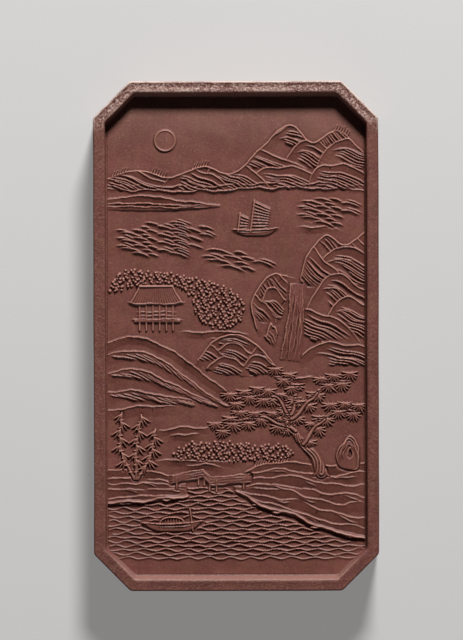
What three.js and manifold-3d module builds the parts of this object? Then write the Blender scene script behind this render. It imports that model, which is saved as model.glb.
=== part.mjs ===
// Pictorial ink cake: an oblong block of red-brown ink with cut corners, pressed in a carved mould.
// A raised rim frames a sunk picture of a river landscape, and the back has a sunk bare field.
// Millimetres. The cake lies on its back: +X is the picture's right, +Y its top, +Z comes out of it.
// The origin is the centre of the face that it rests on.

import * as THREE from "three";
import { mergeVertices } from "three/addons/utils/BufferGeometryUtils.js";
import Module from "manifold-3d";

// The block
const cakeLength = 130;
const cakeWidth = 72.8;
const cakeThickness = 14;
const cornerCut = 9.4;
const edgeRound = 0.5;

// The rim and the sunk picture
const rimWidth = 2.9;
const lipRound = 0.25;
const recessDepth = 3.5;
const sideDraft = 0.35;
const endDraft = 1;
const groundThickness = 1;
const creviceWidth = 0.3;

// The sunk field in the back
const backBorder = 4.6;
const backFieldDepth = 1;
const backFieldDraft = 0.6;

// The carved relief, raised from the ground of the picture
const reliefClearance = 0.3;
const sheetHeight = 0.25;
const foldHeight = 0.6;
const foldRise = 0.35;
const foldFall = 1.3;
const fineHeight = 0.45;
const fineRise = 0.3;
const fineFall = 0.6;
const beadRadius = 0.75;
const beadHeight = 0.7;
const beadPitch = 2.1;
const waveLength = 6.8;
const wavePitch = 2.7;
const waveSwingWidth = 0.55;
const rosetteRadius = 2.5;
const rosetteHeight = 0.8;
const leavesPerRosette = 6;
const trunkWidth = 3.4;
const branchWidth = 1.3;
const limbHeight = 0.95;
const caneWidth = 1;
const bambooHeight = 17;
const caneLeafLength = 3.1;
const moonRadius = 3;
const builtHeight = 0.8;
const battenWidth = 0.5;
const hutWidth = 9;
const boatLength = 15;
const sailHeight = 8;
const plankWidth = 1.9;

const groundBaseZ = cakeThickness - recessDepth - groundThickness;
const floorZ = cakeThickness - recessDepth;
const pictureInsetX = rimWidth + sideDraft + creviceWidth;
const pictureInsetY = rimWidth + endDraft + creviceWidth;
const pictureHalfX = cakeWidth / 2 - pictureInsetX;
const pictureHalfY = cakeLength / 2 - pictureInsetY;

const inkColor = 0x7a4a40;
const rimColor = 0x744840;
const groundColor = 0x78483e;

const wasm = await Module();
wasm.setup();

const weldDistance = 1e-4;
const leastEdge = 0.01;
const upward = new THREE.Vector3(0, 0, 1);

// A three.js geometry as a solid that can be cut and joined
function solidOf(geometry) {
  const bare = new THREE.BufferGeometry();
  bare.setAttribute("position", geometry.getAttribute("position"));
  bare.setIndex(geometry.index);
  const merged = mergeVertices(bare, weldDistance);
  return new wasm.Manifold(
    new wasm.Mesh({
      numProp: 3,
      vertProperties: merged.getAttribute("position").array,
      triVerts: new Uint32Array(merged.index.array),
    }),
  );
}

function joined(solids) {
  return solids.reduce((whole, solid) => whole.add(solid));
}

// A closed body through rings of points. Each ring has as many points as the next.
function loft(rings, closesOnItself = false) {
  const size = rings[0].length;
  const index = [];
  const bands = closesOnItself ? rings.length : rings.length - 1;
  for (let ring = 0; ring < bands; ring++) {
    const here = ring * size;
    const next = ((ring + 1) % rings.length) * size;
    for (let i = 0; i < size; i++) {
      const j = (i + 1) % size;
      index.push(here + i, here + j, next + j);
      index.push(here + i, next + j, next + i);
    }
  }
  if (!closesOnItself) {
    const last = (rings.length - 1) * size;
    for (let i = 1; i + 1 < size; i++) {
      index.push(0, i + 1, i);
      index.push(last, last + i, last + i + 1);
    }
  }
  const geometry = new THREE.BufferGeometry();
  geometry.setFromPoints(rings.flat());
  geometry.setIndex(index);
  return solidOf(geometry);
}

// The cake's outline with its cut corners, drawn in from the outer faces
function octagon(insetX, insetY, z) {
  const x = cakeWidth / 2 - insetX;
  const y = cakeLength / 2 - insetY;
  const cut = cornerCut - (insetX + insetY) * (1 - Math.SQRT1_2);
  return [
    new THREE.Vector3(x, cut - y, z),
    new THREE.Vector3(x, y - cut, z),
    new THREE.Vector3(x - cut, y, z),
    new THREE.Vector3(cut - x, y, z),
    new THREE.Vector3(-x, y - cut, z),
    new THREE.Vector3(-x, cut - y, z),
    new THREE.Vector3(cut - x, -y, z),
    new THREE.Vector3(x - cut, -y, z),
  ];
}

// The rounded edge between an upright outer face and a level one, as octagons from low to high
function roundedTop(radius, topZ) {
  const steps = 3;
  const rings = [];
  for (let i = 0; i <= steps; i++) {
    const turn = (i / steps) * (Math.PI / 2);
    const inset = radius * (1 - Math.cos(turn));
    rings.push(octagon(inset, inset, topZ - radius * (1 - Math.sin(turn))));
  }
  return rings;
}

function slab() {
  const rounded = roundedTop(edgeRound, 0).map((ring) =>
    ring.map((point) => new THREE.Vector3(point.x, point.y, -point.z)),
  );
  const block = loft([...rounded.reverse(), octagon(0, 0, groundBaseZ)]);
  const inset = backBorder + backFieldDraft;
  const overcut = backFieldDraft / backFieldDepth;
  const field = loft([
    octagon(backBorder - overcut, backBorder - overcut, -1),
    octagon(inset, inset, backFieldDepth),
  ]);
  return block.subtract(field);
}

function rim() {
  const lip = rimWidth;
  return loft(
    [
      octagon(0, 0, groundBaseZ),
      ...roundedTop(edgeRound, cakeThickness),
      octagon(lip - lipRound, lip - lipRound, cakeThickness),
      octagon(lip, lip, cakeThickness - lipRound),
      octagon(lip + sideDraft, lip + endDraft, floorZ),
      octagon(lip + sideDraft, lip + endDraft, groundBaseZ),
    ],
    true,
  );
}

function pictureGround() {
  return loft([
    octagon(pictureInsetX, pictureInsetY, groundBaseZ),
    octagon(pictureInsetX, pictureInsetY, floorZ),
  ]);
}

// The space above the ground that the relief may fill
function pictureSpace() {
  const setBack = creviceWidth / 3;
  return loft([
    octagon(pictureInsetX + setBack, pictureInsetY + setBack, floorZ),
    octagon(pictureInsetX + setBack, pictureInsetY + setBack, cakeThickness),
  ]);
}

// A place on the picture: u runs from -1 at its left edge to 1 at its right, v from its foot to its top
function placeOn([u, v]) {
  return new THREE.Vector3(u * pictureHalfX, v * pictureHalfY, 0);
}

// Points in millimetres from a place on the picture
function standAt(mark, points) {
  return points.map(([x, y]) => placeOn(mark).add(new THREE.Vector3(x, y, 0)));
}

function curveThrough(marks) {
  return new THREE.CatmullRomCurve3(marks.map(placeOn));
}

function loopThrough(marks, steps) {
  const loop = new THREE.CatmullRomCurve3(marks.map(placeOn), true);
  return loop.getSpacedPoints(steps).slice(0, -1);
}

function ringRound(place, radius, sides) {
  return Array.from({ length: sides }, (_, side) =>
    new THREE.Vector3(radius, 0, 0).applyAxisAngle(upward, (2 * Math.PI * side) / sides).add(place),
  );
}

// An upright prism over an outline
function prism(outline, lowZ, highZ) {
  const geometry = new THREE.ExtrudeGeometry(new THREE.Shape(outline), {
    depth: highZ - lowZ,
    bevelEnabled: false,
  });
  geometry.translate(0, 0, lowZ);
  return solidOf(geometry);
}

function sheet(outline, height = sheetHeight) {
  return prism(outline, floorZ, floorZ + height);
}

// An outline drawn outwards by a distance, with its corners kept
function grown(outline, distance) {
  const mostStretch = 2;
  const turned = THREE.ShapeUtils.isClockWise(outline) ? [...outline].reverse() : outline;
  return turned.map((point, i) => {
    const before = turned.at(i - 1);
    const after = turned[(i + 1) % turned.length];
    const into = point.clone().sub(before).normalize();
    const out = after.clone().sub(point).normalize();
    const across = new THREE.Vector3(into.y + out.y, -into.x - out.x, 0).normalize();
    const stretch = Math.min(1 / (across.x * into.y - across.y * into.x), mostStretch);
    return point.clone().addScaledVector(across, distance * stretch);
  });
}

// The room that a motif takes from those behind it: its own ground and a clearance round it
function room(outline) {
  return prism(outline, floorZ - 1, cakeThickness);
}

function roomOver(outline) {
  return room(grown(outline, reliefClearance));
}

function roomRound(place, radius) {
  return room(ringRound(place, radius + reliefClearance, 10));
}

// The room along a line that tapers, as a bar with blunt ends round each of its runs
function roomAlong(points, firstHalfWidth, lastHalfWidth) {
  const halfCorner = Math.PI / 8;
  const turns = [-3, -1, 1, 3].map((corners) => corners * halfCorner);
  const reachAt = (i) => {
    const share = i / (points.length - 1);
    const halfWidth = firstHalfWidth + (lastHalfWidth - firstHalfWidth) * share;
    return (halfWidth + reliefClearance) / Math.cos(halfCorner);
  };
  return points.slice(1).map((to, i) => {
    const from = points[i];
    const heading = Math.atan2(to.y - from.y, to.x - from.x);
    const corner = (end, reach, turn) =>
      new THREE.Vector3(reach, 0, 0).applyAxisAngle(upward, heading + turn).add(end);
    return room([
      ...turns.map((turn) => corner(to, reachAt(i + 1), turn)),
      ...turns.map((turn) => corner(from, reachAt(i), Math.PI + turn)),
    ]);
  });
}

// How full a stroke is along its run: thin at both ends
function swell(share) {
  const thinEnd = 0.35;
  const swellRun = 0.25;
  return thinEnd + (1 - thinEnd) * Math.min(1, Math.min(share, 1 - share) / swellRun);
}

// A raised line. Its steep side, on the left of the run, stands that much left of the points as lead says,
// and its slope falls to the right.
function stroke(points, height, rise, fall, lead = 0) {
  const rings = points.map((point, i) => {
    const before = points[Math.max(i - 1, 0)];
    const after = points[Math.min(i + 1, points.length - 1)];
    const along = after.clone().sub(before).normalize();
    const right = new THREE.Vector3(along.y, -along.x, 0);
    const full = swell(i / (points.length - 1));
    const foot = point.clone().setZ(floorZ).addScaledVector(right, -lead * full);
    const crest = foot.clone().addScaledVector(right, rise * full);
    const tail = crest.clone().addScaledVector(right, fall * full);
    crest.z += height * full;
    return [foot, crest, tail];
  });
  return loft(rings);
}

function foldLine(points) {
  return stroke(points, foldHeight, foldRise, foldFall);
}

function fineLine(points) {
  return stroke(points, fineHeight, fineRise, fineFall);
}

// A narrow ridge with the given points along its middle
function rib(points, height) {
  return stroke(points, height, battenWidth / 2, battenWidth / 2, battenWidth / 2);
}

// A steady waver between -1 and 1, so that carved lines look cut by hand
function waver(seed) {
  return Math.sin(seed * 12.9898) * Math.cos(seed * 4.1414 + 1);
}

// A slope of ground between its upper and its lower edge, with folds that step down it
function slope(upperMarks, lowerMarks, folds, pieces) {
  const upper = curveThrough(upperMarks);
  const lower = curveThrough(lowerMarks);
  const edgeSteps = 18;
  const foldSteps = 5;
  const foldBow = 0.35;
  const foldWander = 0.2;
  const outline = [
    ...upper.getSpacedPoints(edgeSteps),
    ...lower.getSpacedPoints(edgeSteps).reverse(),
  ];
  const parts = [sheet(outline), foldLine(upper.getSpacedPoints(edgeSteps))];
  for (let fold = 1; fold <= folds; fold++) {
    for (let piece = 0; piece < pieces; piece++) {
      const seed = fold * pieces + piece;
      const start = (piece + 0.04 * (1 + waver(seed))) / pieces;
      const end = (piece + 0.98 - 0.05 * (1 + waver(seed + 0.5))) / pieces;
      const points = [];
      for (let i = 0; i <= foldSteps; i++) {
        const t = start + ((end - start) * i) / foldSteps;
        const bow = foldBow * Math.sin((Math.PI * i) / foldSteps);
        const down = (fold - bow + foldWander * waver(seed + t)) / (folds + 1);
        points.push(upper.getPointAt(t).lerp(lower.getPointAt(t), down));
      }
      parts.push(foldLine(points));
    }
  }
  const solid = joined(parts).intersect(prism(outline, floorZ, cakeThickness));
  return { solid, rooms: [roomOver(outline)] };
}

function isInside(outline, point) {
  let inside = false;
  outline.forEach((a, i) => {
    const b = outline.at(i - 1);
    const crosses = a.y > point.y !== b.y > point.y;
    if (crosses && point.x < a.x + ((b.x - a.x) * (point.y - a.y)) / (b.y - a.y)) {
      inside = !inside;
    }
  });
  return inside;
}

function bead(x, y, turn) {
  const sides = 5;
  const body = new THREE.CylinderGeometry(beadRadius / 2, beadRadius, beadHeight, sides);
  body.rotateX(Math.PI / 2);
  body.rotateZ(turn);
  body.translate(x, y, floorZ + beadHeight / 2);
  return solidOf(body);
}

// A thicket: rounded beads set close together over a sheet
function thicket(marks) {
  const outline = loopThrough(marks, 30);
  const core = grown(outline, -beadRadius);
  const box = new THREE.Box3().setFromPoints(outline);
  const rowPitch = beadPitch * 0.8;
  const parts = [sheet(outline)];
  for (let row = 0; box.min.y + row * rowPitch < box.max.y; row++) {
    for (let i = 0; box.min.x + i * beadPitch < box.max.x; i++) {
      const seed = row * 37 + i;
      const x = box.min.x + (i + (row % 2) / 2 + 0.16 * waver(seed)) * beadPitch;
      const y = box.min.y + (row + 0.2 * waver(seed + 9)) * rowPitch;
      if (isInside(core, new THREE.Vector3(x, y, 0))) {
        parts.push(bead(x, y, seed));
      }
    }
  }
  return { solid: joined(parts), rooms: [roomOver(outline)] };
}

// Rows of waves that swing against each other, so that neighbouring rows make long eyes
function waves(marks) {
  const outline = marks.map(placeOn);
  const box = new THREE.Box3().setFromPoints(outline);
  const rows = Math.floor((box.max.y - box.min.y) / wavePitch);
  const stepsInWave = 6;
  const steps = Math.ceil(((box.max.x - box.min.x) / waveLength) * stepsInWave);
  const parts = [];
  for (let row = 0; row < rows; row++) {
    const points = [];
    for (let i = 0; i <= steps; i++) {
      const x = box.min.x + ((box.max.x - box.min.x) * i) / steps;
      const swing = waveSwingWidth * Math.sin((2 * Math.PI * x) / waveLength + row * Math.PI);
      points.push(new THREE.Vector3(x, box.max.y - (row + 0.5) * wavePitch + swing, 0));
    }
    parts.push(fineLine(points));
  }
  const rowsInside = joined(parts).intersect(prism(outline, floorZ, cakeThickness));
  return { solid: sheet(outline).add(rowsInside), rooms: [roomOver(outline)] };
}

// Short arcs on still water, in rows that lean
function ripples(marks, rows, arcsInRow) {
  const outline = loopThrough(marks, 24);
  const box = new THREE.Box3().setFromPoints(outline);
  const size = box.getSize(new THREE.Vector3());
  const rowShift = 0.3;
  const parts = [sheet(outline)];
  for (let row = 0; row < rows; row++) {
    for (let i = 0; i < arcsInRow; i++) {
      const seed = row * 11 + i;
      const length = (size.x / arcsInRow) * (0.95 + 0.15 * waver(seed));
      const across = (i + 0.5 + rowShift * (row % 2) + 0.1 * waver(seed + 3)) / (arcsInRow + rowShift);
      const x = box.min.x + size.x * across;
      const y = box.min.y + (size.y * (row + 0.6)) / rows;
      const arc = new THREE.QuadraticBezierCurve3(
        new THREE.Vector3(x - length / 2, y - length * 0.06, 0),
        new THREE.Vector3(x - length * 0.05, y + length * 0.2, 0),
        new THREE.Vector3(x + length / 2, y - length * 0.26, 0),
      );
      parts.push(fineLine(arc.getPoints(4)));
    }
  }
  const solid = joined(parts).intersect(prism(outline, floorZ, cakeThickness));
  return { solid, rooms: [roomOver(outline)] };
}

// A hull seen from its side, with a raked bow on the right and a lifted stern on the left
function hullOutline(mark, length, depth) {
  const shape = new THREE.Shape();
  shape.moveTo(-length / 2, depth);
  shape.quadraticCurveTo(-length * 0.36, 0, -length * 0.15, 0);
  shape.lineTo(length * 0.2, 0);
  shape.quadraticCurveTo(length * 0.4, depth * 0.1, length / 2, depth * 1.2);
  shape.quadraticCurveTo(0, depth * 0.6, -length / 2, depth);
  const points = shape.getPoints(5).slice(0, -1);
  return standAt(mark, points.map(({ x, y }) => [x, y]));
}

// A sail that leans from its mast, stiffened by battens. Its foot is that far left of the boat's middle
// and that far above its keel.
function sail(mark, left, foot, width, height) {
  const lean = width * 0.25;
  const outline = standAt(mark, [
    [-left, foot],
    [width - left, foot + height * 0.08],
    [width - left + lean, foot + height * 0.75],
    [lean - left, foot + height],
  ]);
  const battens = Math.floor(height / (2.4 * battenWidth));
  const parts = [sheet(outline, builtHeight / 2)];
  for (let batten = 1; batten <= battens; batten++) {
    const share = (batten - 0.5) / battens;
    const windward = outline[0].clone().lerp(outline[3], share);
    const leeward = outline[1].clone().lerp(outline[2], share);
    parts.push(fineLine([windward, leeward]));
  }
  return { parts, outline };
}

function sailingBoat(mark) {
  const length = boatLength * 0.73;
  const depth = length * 0.155;
  const hull = hullOutline(mark, length, depth);
  const main = sail(mark, length * 0.11, depth * 0.6, sailHeight * 0.52, sailHeight);
  const fore = sail(mark, length * 0.4, depth * 0.65, sailHeight * 0.28, sailHeight * 0.58);
  const solid = joined([sheet(hull, builtHeight), ...main.parts, ...fore.parts]);
  return { solid, rooms: [hull, main.outline, fore.outline].map(roomOver) };
}

// A boat at its mooring, with a hooped mat roof amidships
function mooredBoat(mark) {
  const depth = boatLength * 0.14;
  const roofFoot = depth * 0.5;
  const roofWidth = boatLength * 0.42;
  const roofHeight = boatLength * 0.17;
  const hoops = 5;
  const archSteps = 8;
  const archHeight = (share) => roofHeight * Math.sin(Math.PI * share) ** 0.6;
  const arch = [];
  for (let i = 0; i <= archSteps; i++) {
    const share = i / archSteps;
    arch.push([(roofWidth / 2) * Math.cos(Math.PI * share), roofFoot + archHeight(share)]);
  }
  const hull = hullOutline(mark, boatLength, depth);
  const roof = standAt(mark, arch);
  const parts = [sheet(hull, builtHeight), sheet(roof, builtHeight * 0.7)];
  for (let hoop = 1; hoop < hoops; hoop++) {
    const share = hoop / hoops;
    const x = roofWidth * (share - 0.5);
    const ends = standAt(mark, [[x, roofFoot], [x + battenWidth / 2, roofFoot + archHeight(share) * 0.8]]);
    parts.push(rib(ends, builtHeight));
  }
  return { solid: joined(parts), rooms: [hull, roof].map(roomOver) };
}

// A hut on posts, its tiled roof ribbed from ridge to eaves
function hut(mark) {
  const half = hutWidth / 2;
  const overhang = hutWidth * 0.18;
  const lean = hutWidth * 0.22;
  const deckFoot = hutWidth * 0.04;
  const deckTop = hutWidth * 0.14;
  const eaves = hutWidth * 0.58;
  const ridge = hutWidth * 1.07;
  const postFoot = -hutWidth * 0.18;
  const ribs = 11;
  const posts = 4;
  const roof = standAt(mark, [
    [-half - overhang, eaves],
    [half + overhang, eaves],
    [half + overhang - lean, ridge],
    [lean - half - overhang, ridge],
  ]);
  const walls = standAt(mark, [
    [-half, deckTop - battenWidth / 2],
    [half, deckTop - battenWidth / 2],
    [half, eaves + battenWidth],
    [-half, eaves + battenWidth],
  ]);
  const deck = standAt(mark, [
    [-half - deckTop, deckFoot],
    [half + overhang, deckFoot],
    [half + overhang, deckTop],
    [-half - deckTop, deckTop],
  ]);
  const parts = [
    sheet(roof, builtHeight * 0.65),
    sheet(walls, builtHeight * 0.35),
    sheet(deck, builtHeight * 0.8),
    rib([roof[0], roof[1]], builtHeight),
  ];
  for (let n = 0; n < ribs; n++) {
    const share = (n + 0.5) / ribs;
    const low = roof[0].clone().lerp(roof[1], share);
    const high = roof[3].clone().lerp(roof[2], share);
    parts.push(rib([low, high], builtHeight));
  }
  for (let post = 0; post < posts; post++) {
    const x = (post / (posts - 1) - 0.5) * (hutWidth - battenWidth);
    parts.push(rib(standAt(mark, [[x, postFoot], [x, eaves]]), builtHeight * 0.8));
  }
  return { solid: joined(parts), rooms: [roof, walls, deck].map(roomOver) };
}

// A zigzag footbridge of planks on short posts
function plankBridge(marks) {
  const line = marks.map(placeOn);
  const across = new THREE.Vector3(0, plankWidth / 2, 0);
  const drop = new THREE.Vector3(0, -1.5 * plankWidth, 0);
  const upper = line.map((point) => point.clone().add(across));
  const lower = line.map((point) => point.clone().sub(across));
  const outline = [...lower, ...upper.reverse()];
  const parts = [sheet(outline, builtHeight * 0.75)];
  const rooms = [roomOver(outline)];
  for (let span = 0; span + 1 < line.length; span++) {
    for (const share of [0.15, 0.85]) {
      const top = line[span].clone().lerp(line[span + 1], share);
      const foot = top.clone().add(drop);
      parts.push(rib([foot, top.clone().add(across)], builtHeight));
      rooms.push(...roomAlong([foot, top], battenWidth / 2, battenWidth / 2));
    }
  }
  return { solid: joined(parts), rooms };
}

// A limb that thins from root to tip, with a flat top and sloping sides
function limb(curve, rootWidth, tipWidth) {
  const tipLoss = 0.3;
  const steps = 2 * curve.points.length + 1;
  const points = curve.getSpacedPoints(steps);
  const rings = points.map((point, i) => {
    const before = points[Math.max(i - 1, 0)];
    const after = points[Math.min(i + 1, steps)];
    const along = after.clone().sub(before).normalize();
    const left = new THREE.Vector3(-along.y, along.x, 0);
    const half = (rootWidth + (tipWidth - rootWidth) * (i / steps)) / 2;
    const top = floorZ + limbHeight * (1 - tipLoss * (i / steps));
    return [
      point.clone().addScaledVector(left, half).setZ(floorZ),
      point.clone().addScaledVector(left, half / 2).setZ(top),
      point.clone().addScaledVector(left, -half / 2).setZ(top),
      point.clone().addScaledVector(left, -half).setZ(floorZ),
    ];
  });
  return { solid: loft(rings), rooms: roomAlong(points, rootWidth / 2, tipWidth / 2) };
}

// A star of leaves round one bud: a low cone whose rim is notched between the leaves
function rosette(place, radius, turn) {
  const star = new THREE.ConeGeometry(1, rosetteHeight, 2 * leavesPerRosette);
  star.rotateX(Math.PI / 2);
  const position = star.getAttribute("position");
  const notch = 0.38;
  for (let i = 0; i < position.count; i++) {
    const x = position.getX(i);
    const y = position.getY(i);
    const angle = Math.atan2(x, y);
    const isTip = Math.round((angle / Math.PI) * leavesPerRosette) % 2 === 0;
    const reach = radius * (isTip ? 1 : notch);
    position.setXY(i, x * reach, y * reach);
  }
  star.rotateZ(turn);
  star.translate(place.x, place.y, floorZ + rosetteHeight / 2);
  return solidOf(star);
}

// A broad-leaved tree: a leaning trunk, its branches, and stars of leaves along them
function leafyTree(trunkMarks, branches) {
  const starPitch = 1.15 * rosetteRadius;
  const starOffset = 0.55 * rosetteRadius;
  const unevenness = 0.12;
  const trunk = limb(curveThrough(trunkMarks), trunkWidth, trunkWidth * 0.4);
  const parts = [trunk.solid];
  const rooms = [...trunk.rooms];
  branches.forEach((marks, n) => {
    const curve = curveThrough(marks);
    const branch = limb(curve, branchWidth, branchWidth * 0.55);
    parts.push(branch.solid);
    rooms.push(...branch.rooms);
    const stars = Math.round(curve.getLength() / starPitch);
    for (let i = 1; i <= stars; i++) {
      const place = curve.getPointAt(i / stars);
      place.y += (i % 2 ? 1 : -1) * starOffset;
      parts.push(rosette(place, rosetteRadius * (1 + unevenness * waver(n + i)), n + i));
      rooms.push(roomRound(place, rosetteRadius * (1 + unevenness)));
    }
  });
  return { solid: joined(parts), rooms };
}

// A clump of bamboo: canes from one root, with leaves that hang in threes. The canes' points are in leaf
// lengths across and in shares of the clump's height.
function bamboo(mark, canes) {
  const bunches = 4;
  const firstBunch = 0.35;
  const lean = 0.55;
  const spread = 0.5;
  const parts = [];
  const rooms = [];
  canes.forEach((shares, n) => {
    const points = shares.map(([x, y]) => [x * caneLeafLength, y * bambooHeight]);
    const curve = new THREE.CatmullRomCurve3(standAt(mark, points));
    const cane = limb(curve, caneWidth, caneWidth * 0.8);
    const crown = [firstBunch, 0.6, 1].map((share) => curve.getPointAt(share));
    parts.push(cane.solid);
    rooms.push(...cane.rooms, ...roomAlong(crown, caneLeafLength, caneLeafLength));
    for (let i = 0; i < bunches; i++) {
      const place = curve.getPointAt(firstBunch + ((0.97 - firstBunch) * i) / (bunches - 1));
      const hang = ((i + n) % 2 ? 1 : -1) * lean - Math.PI / 2;
      const towards = (angle, length) =>
        new THREE.Vector3(length, 0, 0).applyAxisAngle(upward, angle).add(place);
      for (let leaf = -1; leaf <= 1; leaf++) {
        const end = towards(hang + leaf * spread, caneLeafLength);
        const middle = place.clone().lerp(end, 0.5);
        parts.push(stroke([place, middle, end], fineHeight * 1.3, fineRise, fineRise * 1.4));
      }
    }
  });
  return { solid: joined(parts), rooms };
}

// A weathered garden rock, pierced and folded
function gardenRock(marks, holeMarks) {
  const outline = loopThrough(marks, 22);
  const hole = loopThrough(holeMarks, 9);
  const body = sheet(outline, builtHeight * 0.7);
  const leftSide = curveThrough(marks.slice(0, Math.ceil(marks.length / 2) + 1)).getSpacedPoints(10);
  const solid = body.add(foldLine(leftSide)).subtract(room(hole));
  return { solid, rooms: [roomOver(outline)] };
}

// A low disc with a raised edge
function moonDisc(mark) {
  const sides = 24;
  const disc = new THREE.LatheGeometry(
    [
      new THREE.Vector2(0, 0),
      new THREE.Vector2(moonRadius, 0),
      new THREE.Vector2(moonRadius - fineRise, fineHeight),
      new THREE.Vector2(moonRadius - 2 * fineRise, sheetHeight),
      new THREE.Vector2(0, sheetHeight * 1.4),
    ],
    sides,
  );
  const place = placeOn(mark);
  disc.rotateX(Math.PI / 2);
  disc.translate(place.x, place.y, floorZ);
  return { solid: solidOf(disc), rooms: [roomRound(place, moonRadius)] };
}

// The motifs of the picture, the nearest first. Each stands clear of those in front of it.
const motifs = {
  leafy_tree: leafyTree(
    [[0.66, -0.575], [0.6, -0.5], [0.47, -0.42], [0.42, -0.34]],
    [
      [[0.46, -0.4], [0.25, -0.35], [0.05, -0.35], [-0.16, -0.4]],
      [[0.43, -0.37], [0.33, -0.27], [0.15, -0.25], [-0.04, -0.27]],
      [[0.42, -0.35], [0.46, -0.26], [0.42, -0.19], [0.3, -0.17]],
      [[0.43, -0.35], [0.58, -0.27], [0.7, -0.2], [0.88, -0.19]],
      [[0.52, -0.45], [0.66, -0.36], [0.8, -0.31], [0.95, -0.32]],
    ],
  ),
  plank_bridge: plankBridge([[-0.5, -0.6], [-0.26, -0.575], [-0.2, -0.61], [0.1, -0.595]]),
  bamboo_clump: bamboo([-0.78, -0.6], [
    [[-0.15, 0], [-1.25, 0.46], [-1.15, 1]],
    [[0, 0], [0.05, 0.5], [0.45, 0.96]],
    [[0.15, 0], [1.2, 0.36], [1.6, 0.74]],
  ]),
  moored_boat: mooredBoat([-0.5, -0.82]),
  hut: hut([-0.62, 0.05]),
  sailing_boat: sailingBoat([0.15, 0.42]),
  garden_rock: gardenRock(
    [
      [0.8, -0.55], [0.78, -0.5], [0.83, -0.45], [0.88, -0.42], [0.94, -0.46], [0.95, -0.52],
      [0.93, -0.56],
    ],
    [[0.86, -0.5], [0.885, -0.47], [0.9, -0.5], [0.88, -0.52]],
  ),
  front_thicket: thicket([
    [-0.5, -0.5], [-0.4, -0.45], [-0.1, -0.445], [0.2, -0.455], [0.38, -0.46], [0.44, -0.5],
    [0.2, -0.52], [-0.2, -0.52],
  ]),
  left_bank: slope(
    [[-1.03, -0.56], [-0.7, -0.565], [-0.4, -0.6]],
    [[-1.03, -0.71], [-0.75, -0.7], [-0.38, -0.68]],
    3,
    2,
  ),
  right_bank: slope(
    [[-0.02, -0.63], [0.1, -0.56], [0.4, -0.53], [0.7, -0.545], [1.03, -0.53]],
    [[0, -0.66], [0.2, -0.72], [0.45, -0.76], [0.7, -0.82], [1.03, -0.86]],
    6,
    2,
  ),
  near_slope: slope(
    [[-1.03, -0.03], [-0.8, 0], [-0.5, -0.06], [-0.25, -0.16], [0.02, -0.27]],
    [[-1.03, -0.36], [-0.6, -0.34], [-0.25, -0.32], [0.02, -0.31]],
    6,
    2,
  ),
  middle_hill: slope(
    [[-0.3, -0.1], [-0.14, -0.01], [0.04, 0], [0.2, -0.06], [0.31, -0.13]],
    [[-0.28, -0.13], [-0.1, -0.16], [0.1, -0.17], [0.31, -0.15]],
    3,
    2,
  ),
  waterfall: slope(
    [[0.34, -0.1], [0.37, -0.02], [0.41, 0.1], [0.42, 0.22]],
    [[0.5, -0.11], [0.52, -0.02], [0.53, 0.1], [0.54, 0.22]],
    3,
    2,
  ),
  cliff_left: slope(
    [[0.16, 0.03], [0.12, 0.13], [0.2, 0.22], [0.3, 0.26], [0.4, 0.25]],
    [[0.3, -0.05], [0.34, 0.05], [0.38, 0.12], [0.4, 0.2]],
    4,
    1,
  ),
  cliff_right: slope(
    [[0.5, 0.24], [0.55, 0.33], [0.7, 0.42], [0.85, 0.38], [1.03, 0.45]],
    [[0.5, -0.13], [0.6, -0.14], [0.8, -0.12], [1.03, -0.13]],
    7,
    2,
  ),
  back_thicket: thicket([
    [-0.98, 0.19], [-0.9, 0.27], [-0.6, 0.27], [-0.3, 0.24], [-0.05, 0.2], [0.06, 0.13], [0.02, 0.05],
    [-0.2, 0.04], [-0.32, 0.1], [-0.4, 0.2], [-0.7, 0.22],
  ]),
  far_shore: slope(
    [[-1.03, 0.575], [-0.7, 0.59], [-0.45, 0.57], [-0.12, 0.55]],
    [[-1.03, 0.53], [-0.6, 0.525], [-0.12, 0.54]],
    1,
    2,
  ),
  far_range: slope(
    [
      [-1.03, 0.655], [-0.76, 0.695], [-0.52, 0.665], [-0.25, 0.71], [-0.03, 0.68],
      [0.2, 0.79], [0.42, 0.885], [0.6, 0.81], [0.78, 0.86], [1.03, 0.75],
    ],
    [[-1.03, 0.615], [-0.3, 0.605], [0.3, 0.62], [1.03, 0.61]],
    4,
    4,
  ),
  moon: moonDisc([-0.55, 0.82]),
  lake_ripples_west: ripples([[-0.96, 0.42], [-0.6, 0.48], [-0.2, 0.45], [-0.3, 0.37], [-0.7, 0.34]], 4, 3),
  lake_ripples_east: ripples([[0.45, 0.54], [0.7, 0.58], [0.96, 0.55], [0.85, 0.48], [0.6, 0.47]], 3, 2),
  lake_ripples_south: ripples([[-0.3, 0.34], [0, 0.36], [0.3, 0.33], [0.15, 0.28], [-0.1, 0.29]], 2, 2),
  water_waves: waves([
    [-1.03, -0.72], [-0.45, -0.675], [-0.38, -0.63], [-0.05, -0.64], [0.02, -0.68], [0.2, -0.74],
    [0.45, -0.78], [0.7, -0.84], [1.03, -0.88], [1.03, -0.95], [-1.03, -0.95],
  ]),
};

const group = new THREE.Group();

function addNode(name, solid, color) {
  const mesh = solid.simplify(leastEdge).getMesh();
  const geometry = new THREE.BufferGeometry();
  geometry.setAttribute("position", new THREE.BufferAttribute(mesh.vertProperties, 3));
  geometry.setIndex(new THREE.BufferAttribute(mesh.triVerts, 1));
  geometry.computeVertexNormals();
  const material = new THREE.MeshStandardMaterial({ color, roughness: 0.55, metalness: 0 });
  const node = new THREE.Mesh(geometry, material);
  node.name = name;
  group.add(node);
}

addNode("back_slab", slab(), inkColor);
addNode("rim", rim(), rimColor);
addNode("picture_ground", pictureGround(), groundColor);

let free = pictureSpace();
for (const [name, { solid, rooms }] of Object.entries(motifs)) {
  addNode(name, solid.intersect(free), inkColor);
  free = rooms.reduce((rest, space) => rest.subtract(space), free);
}

export default group;
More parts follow.
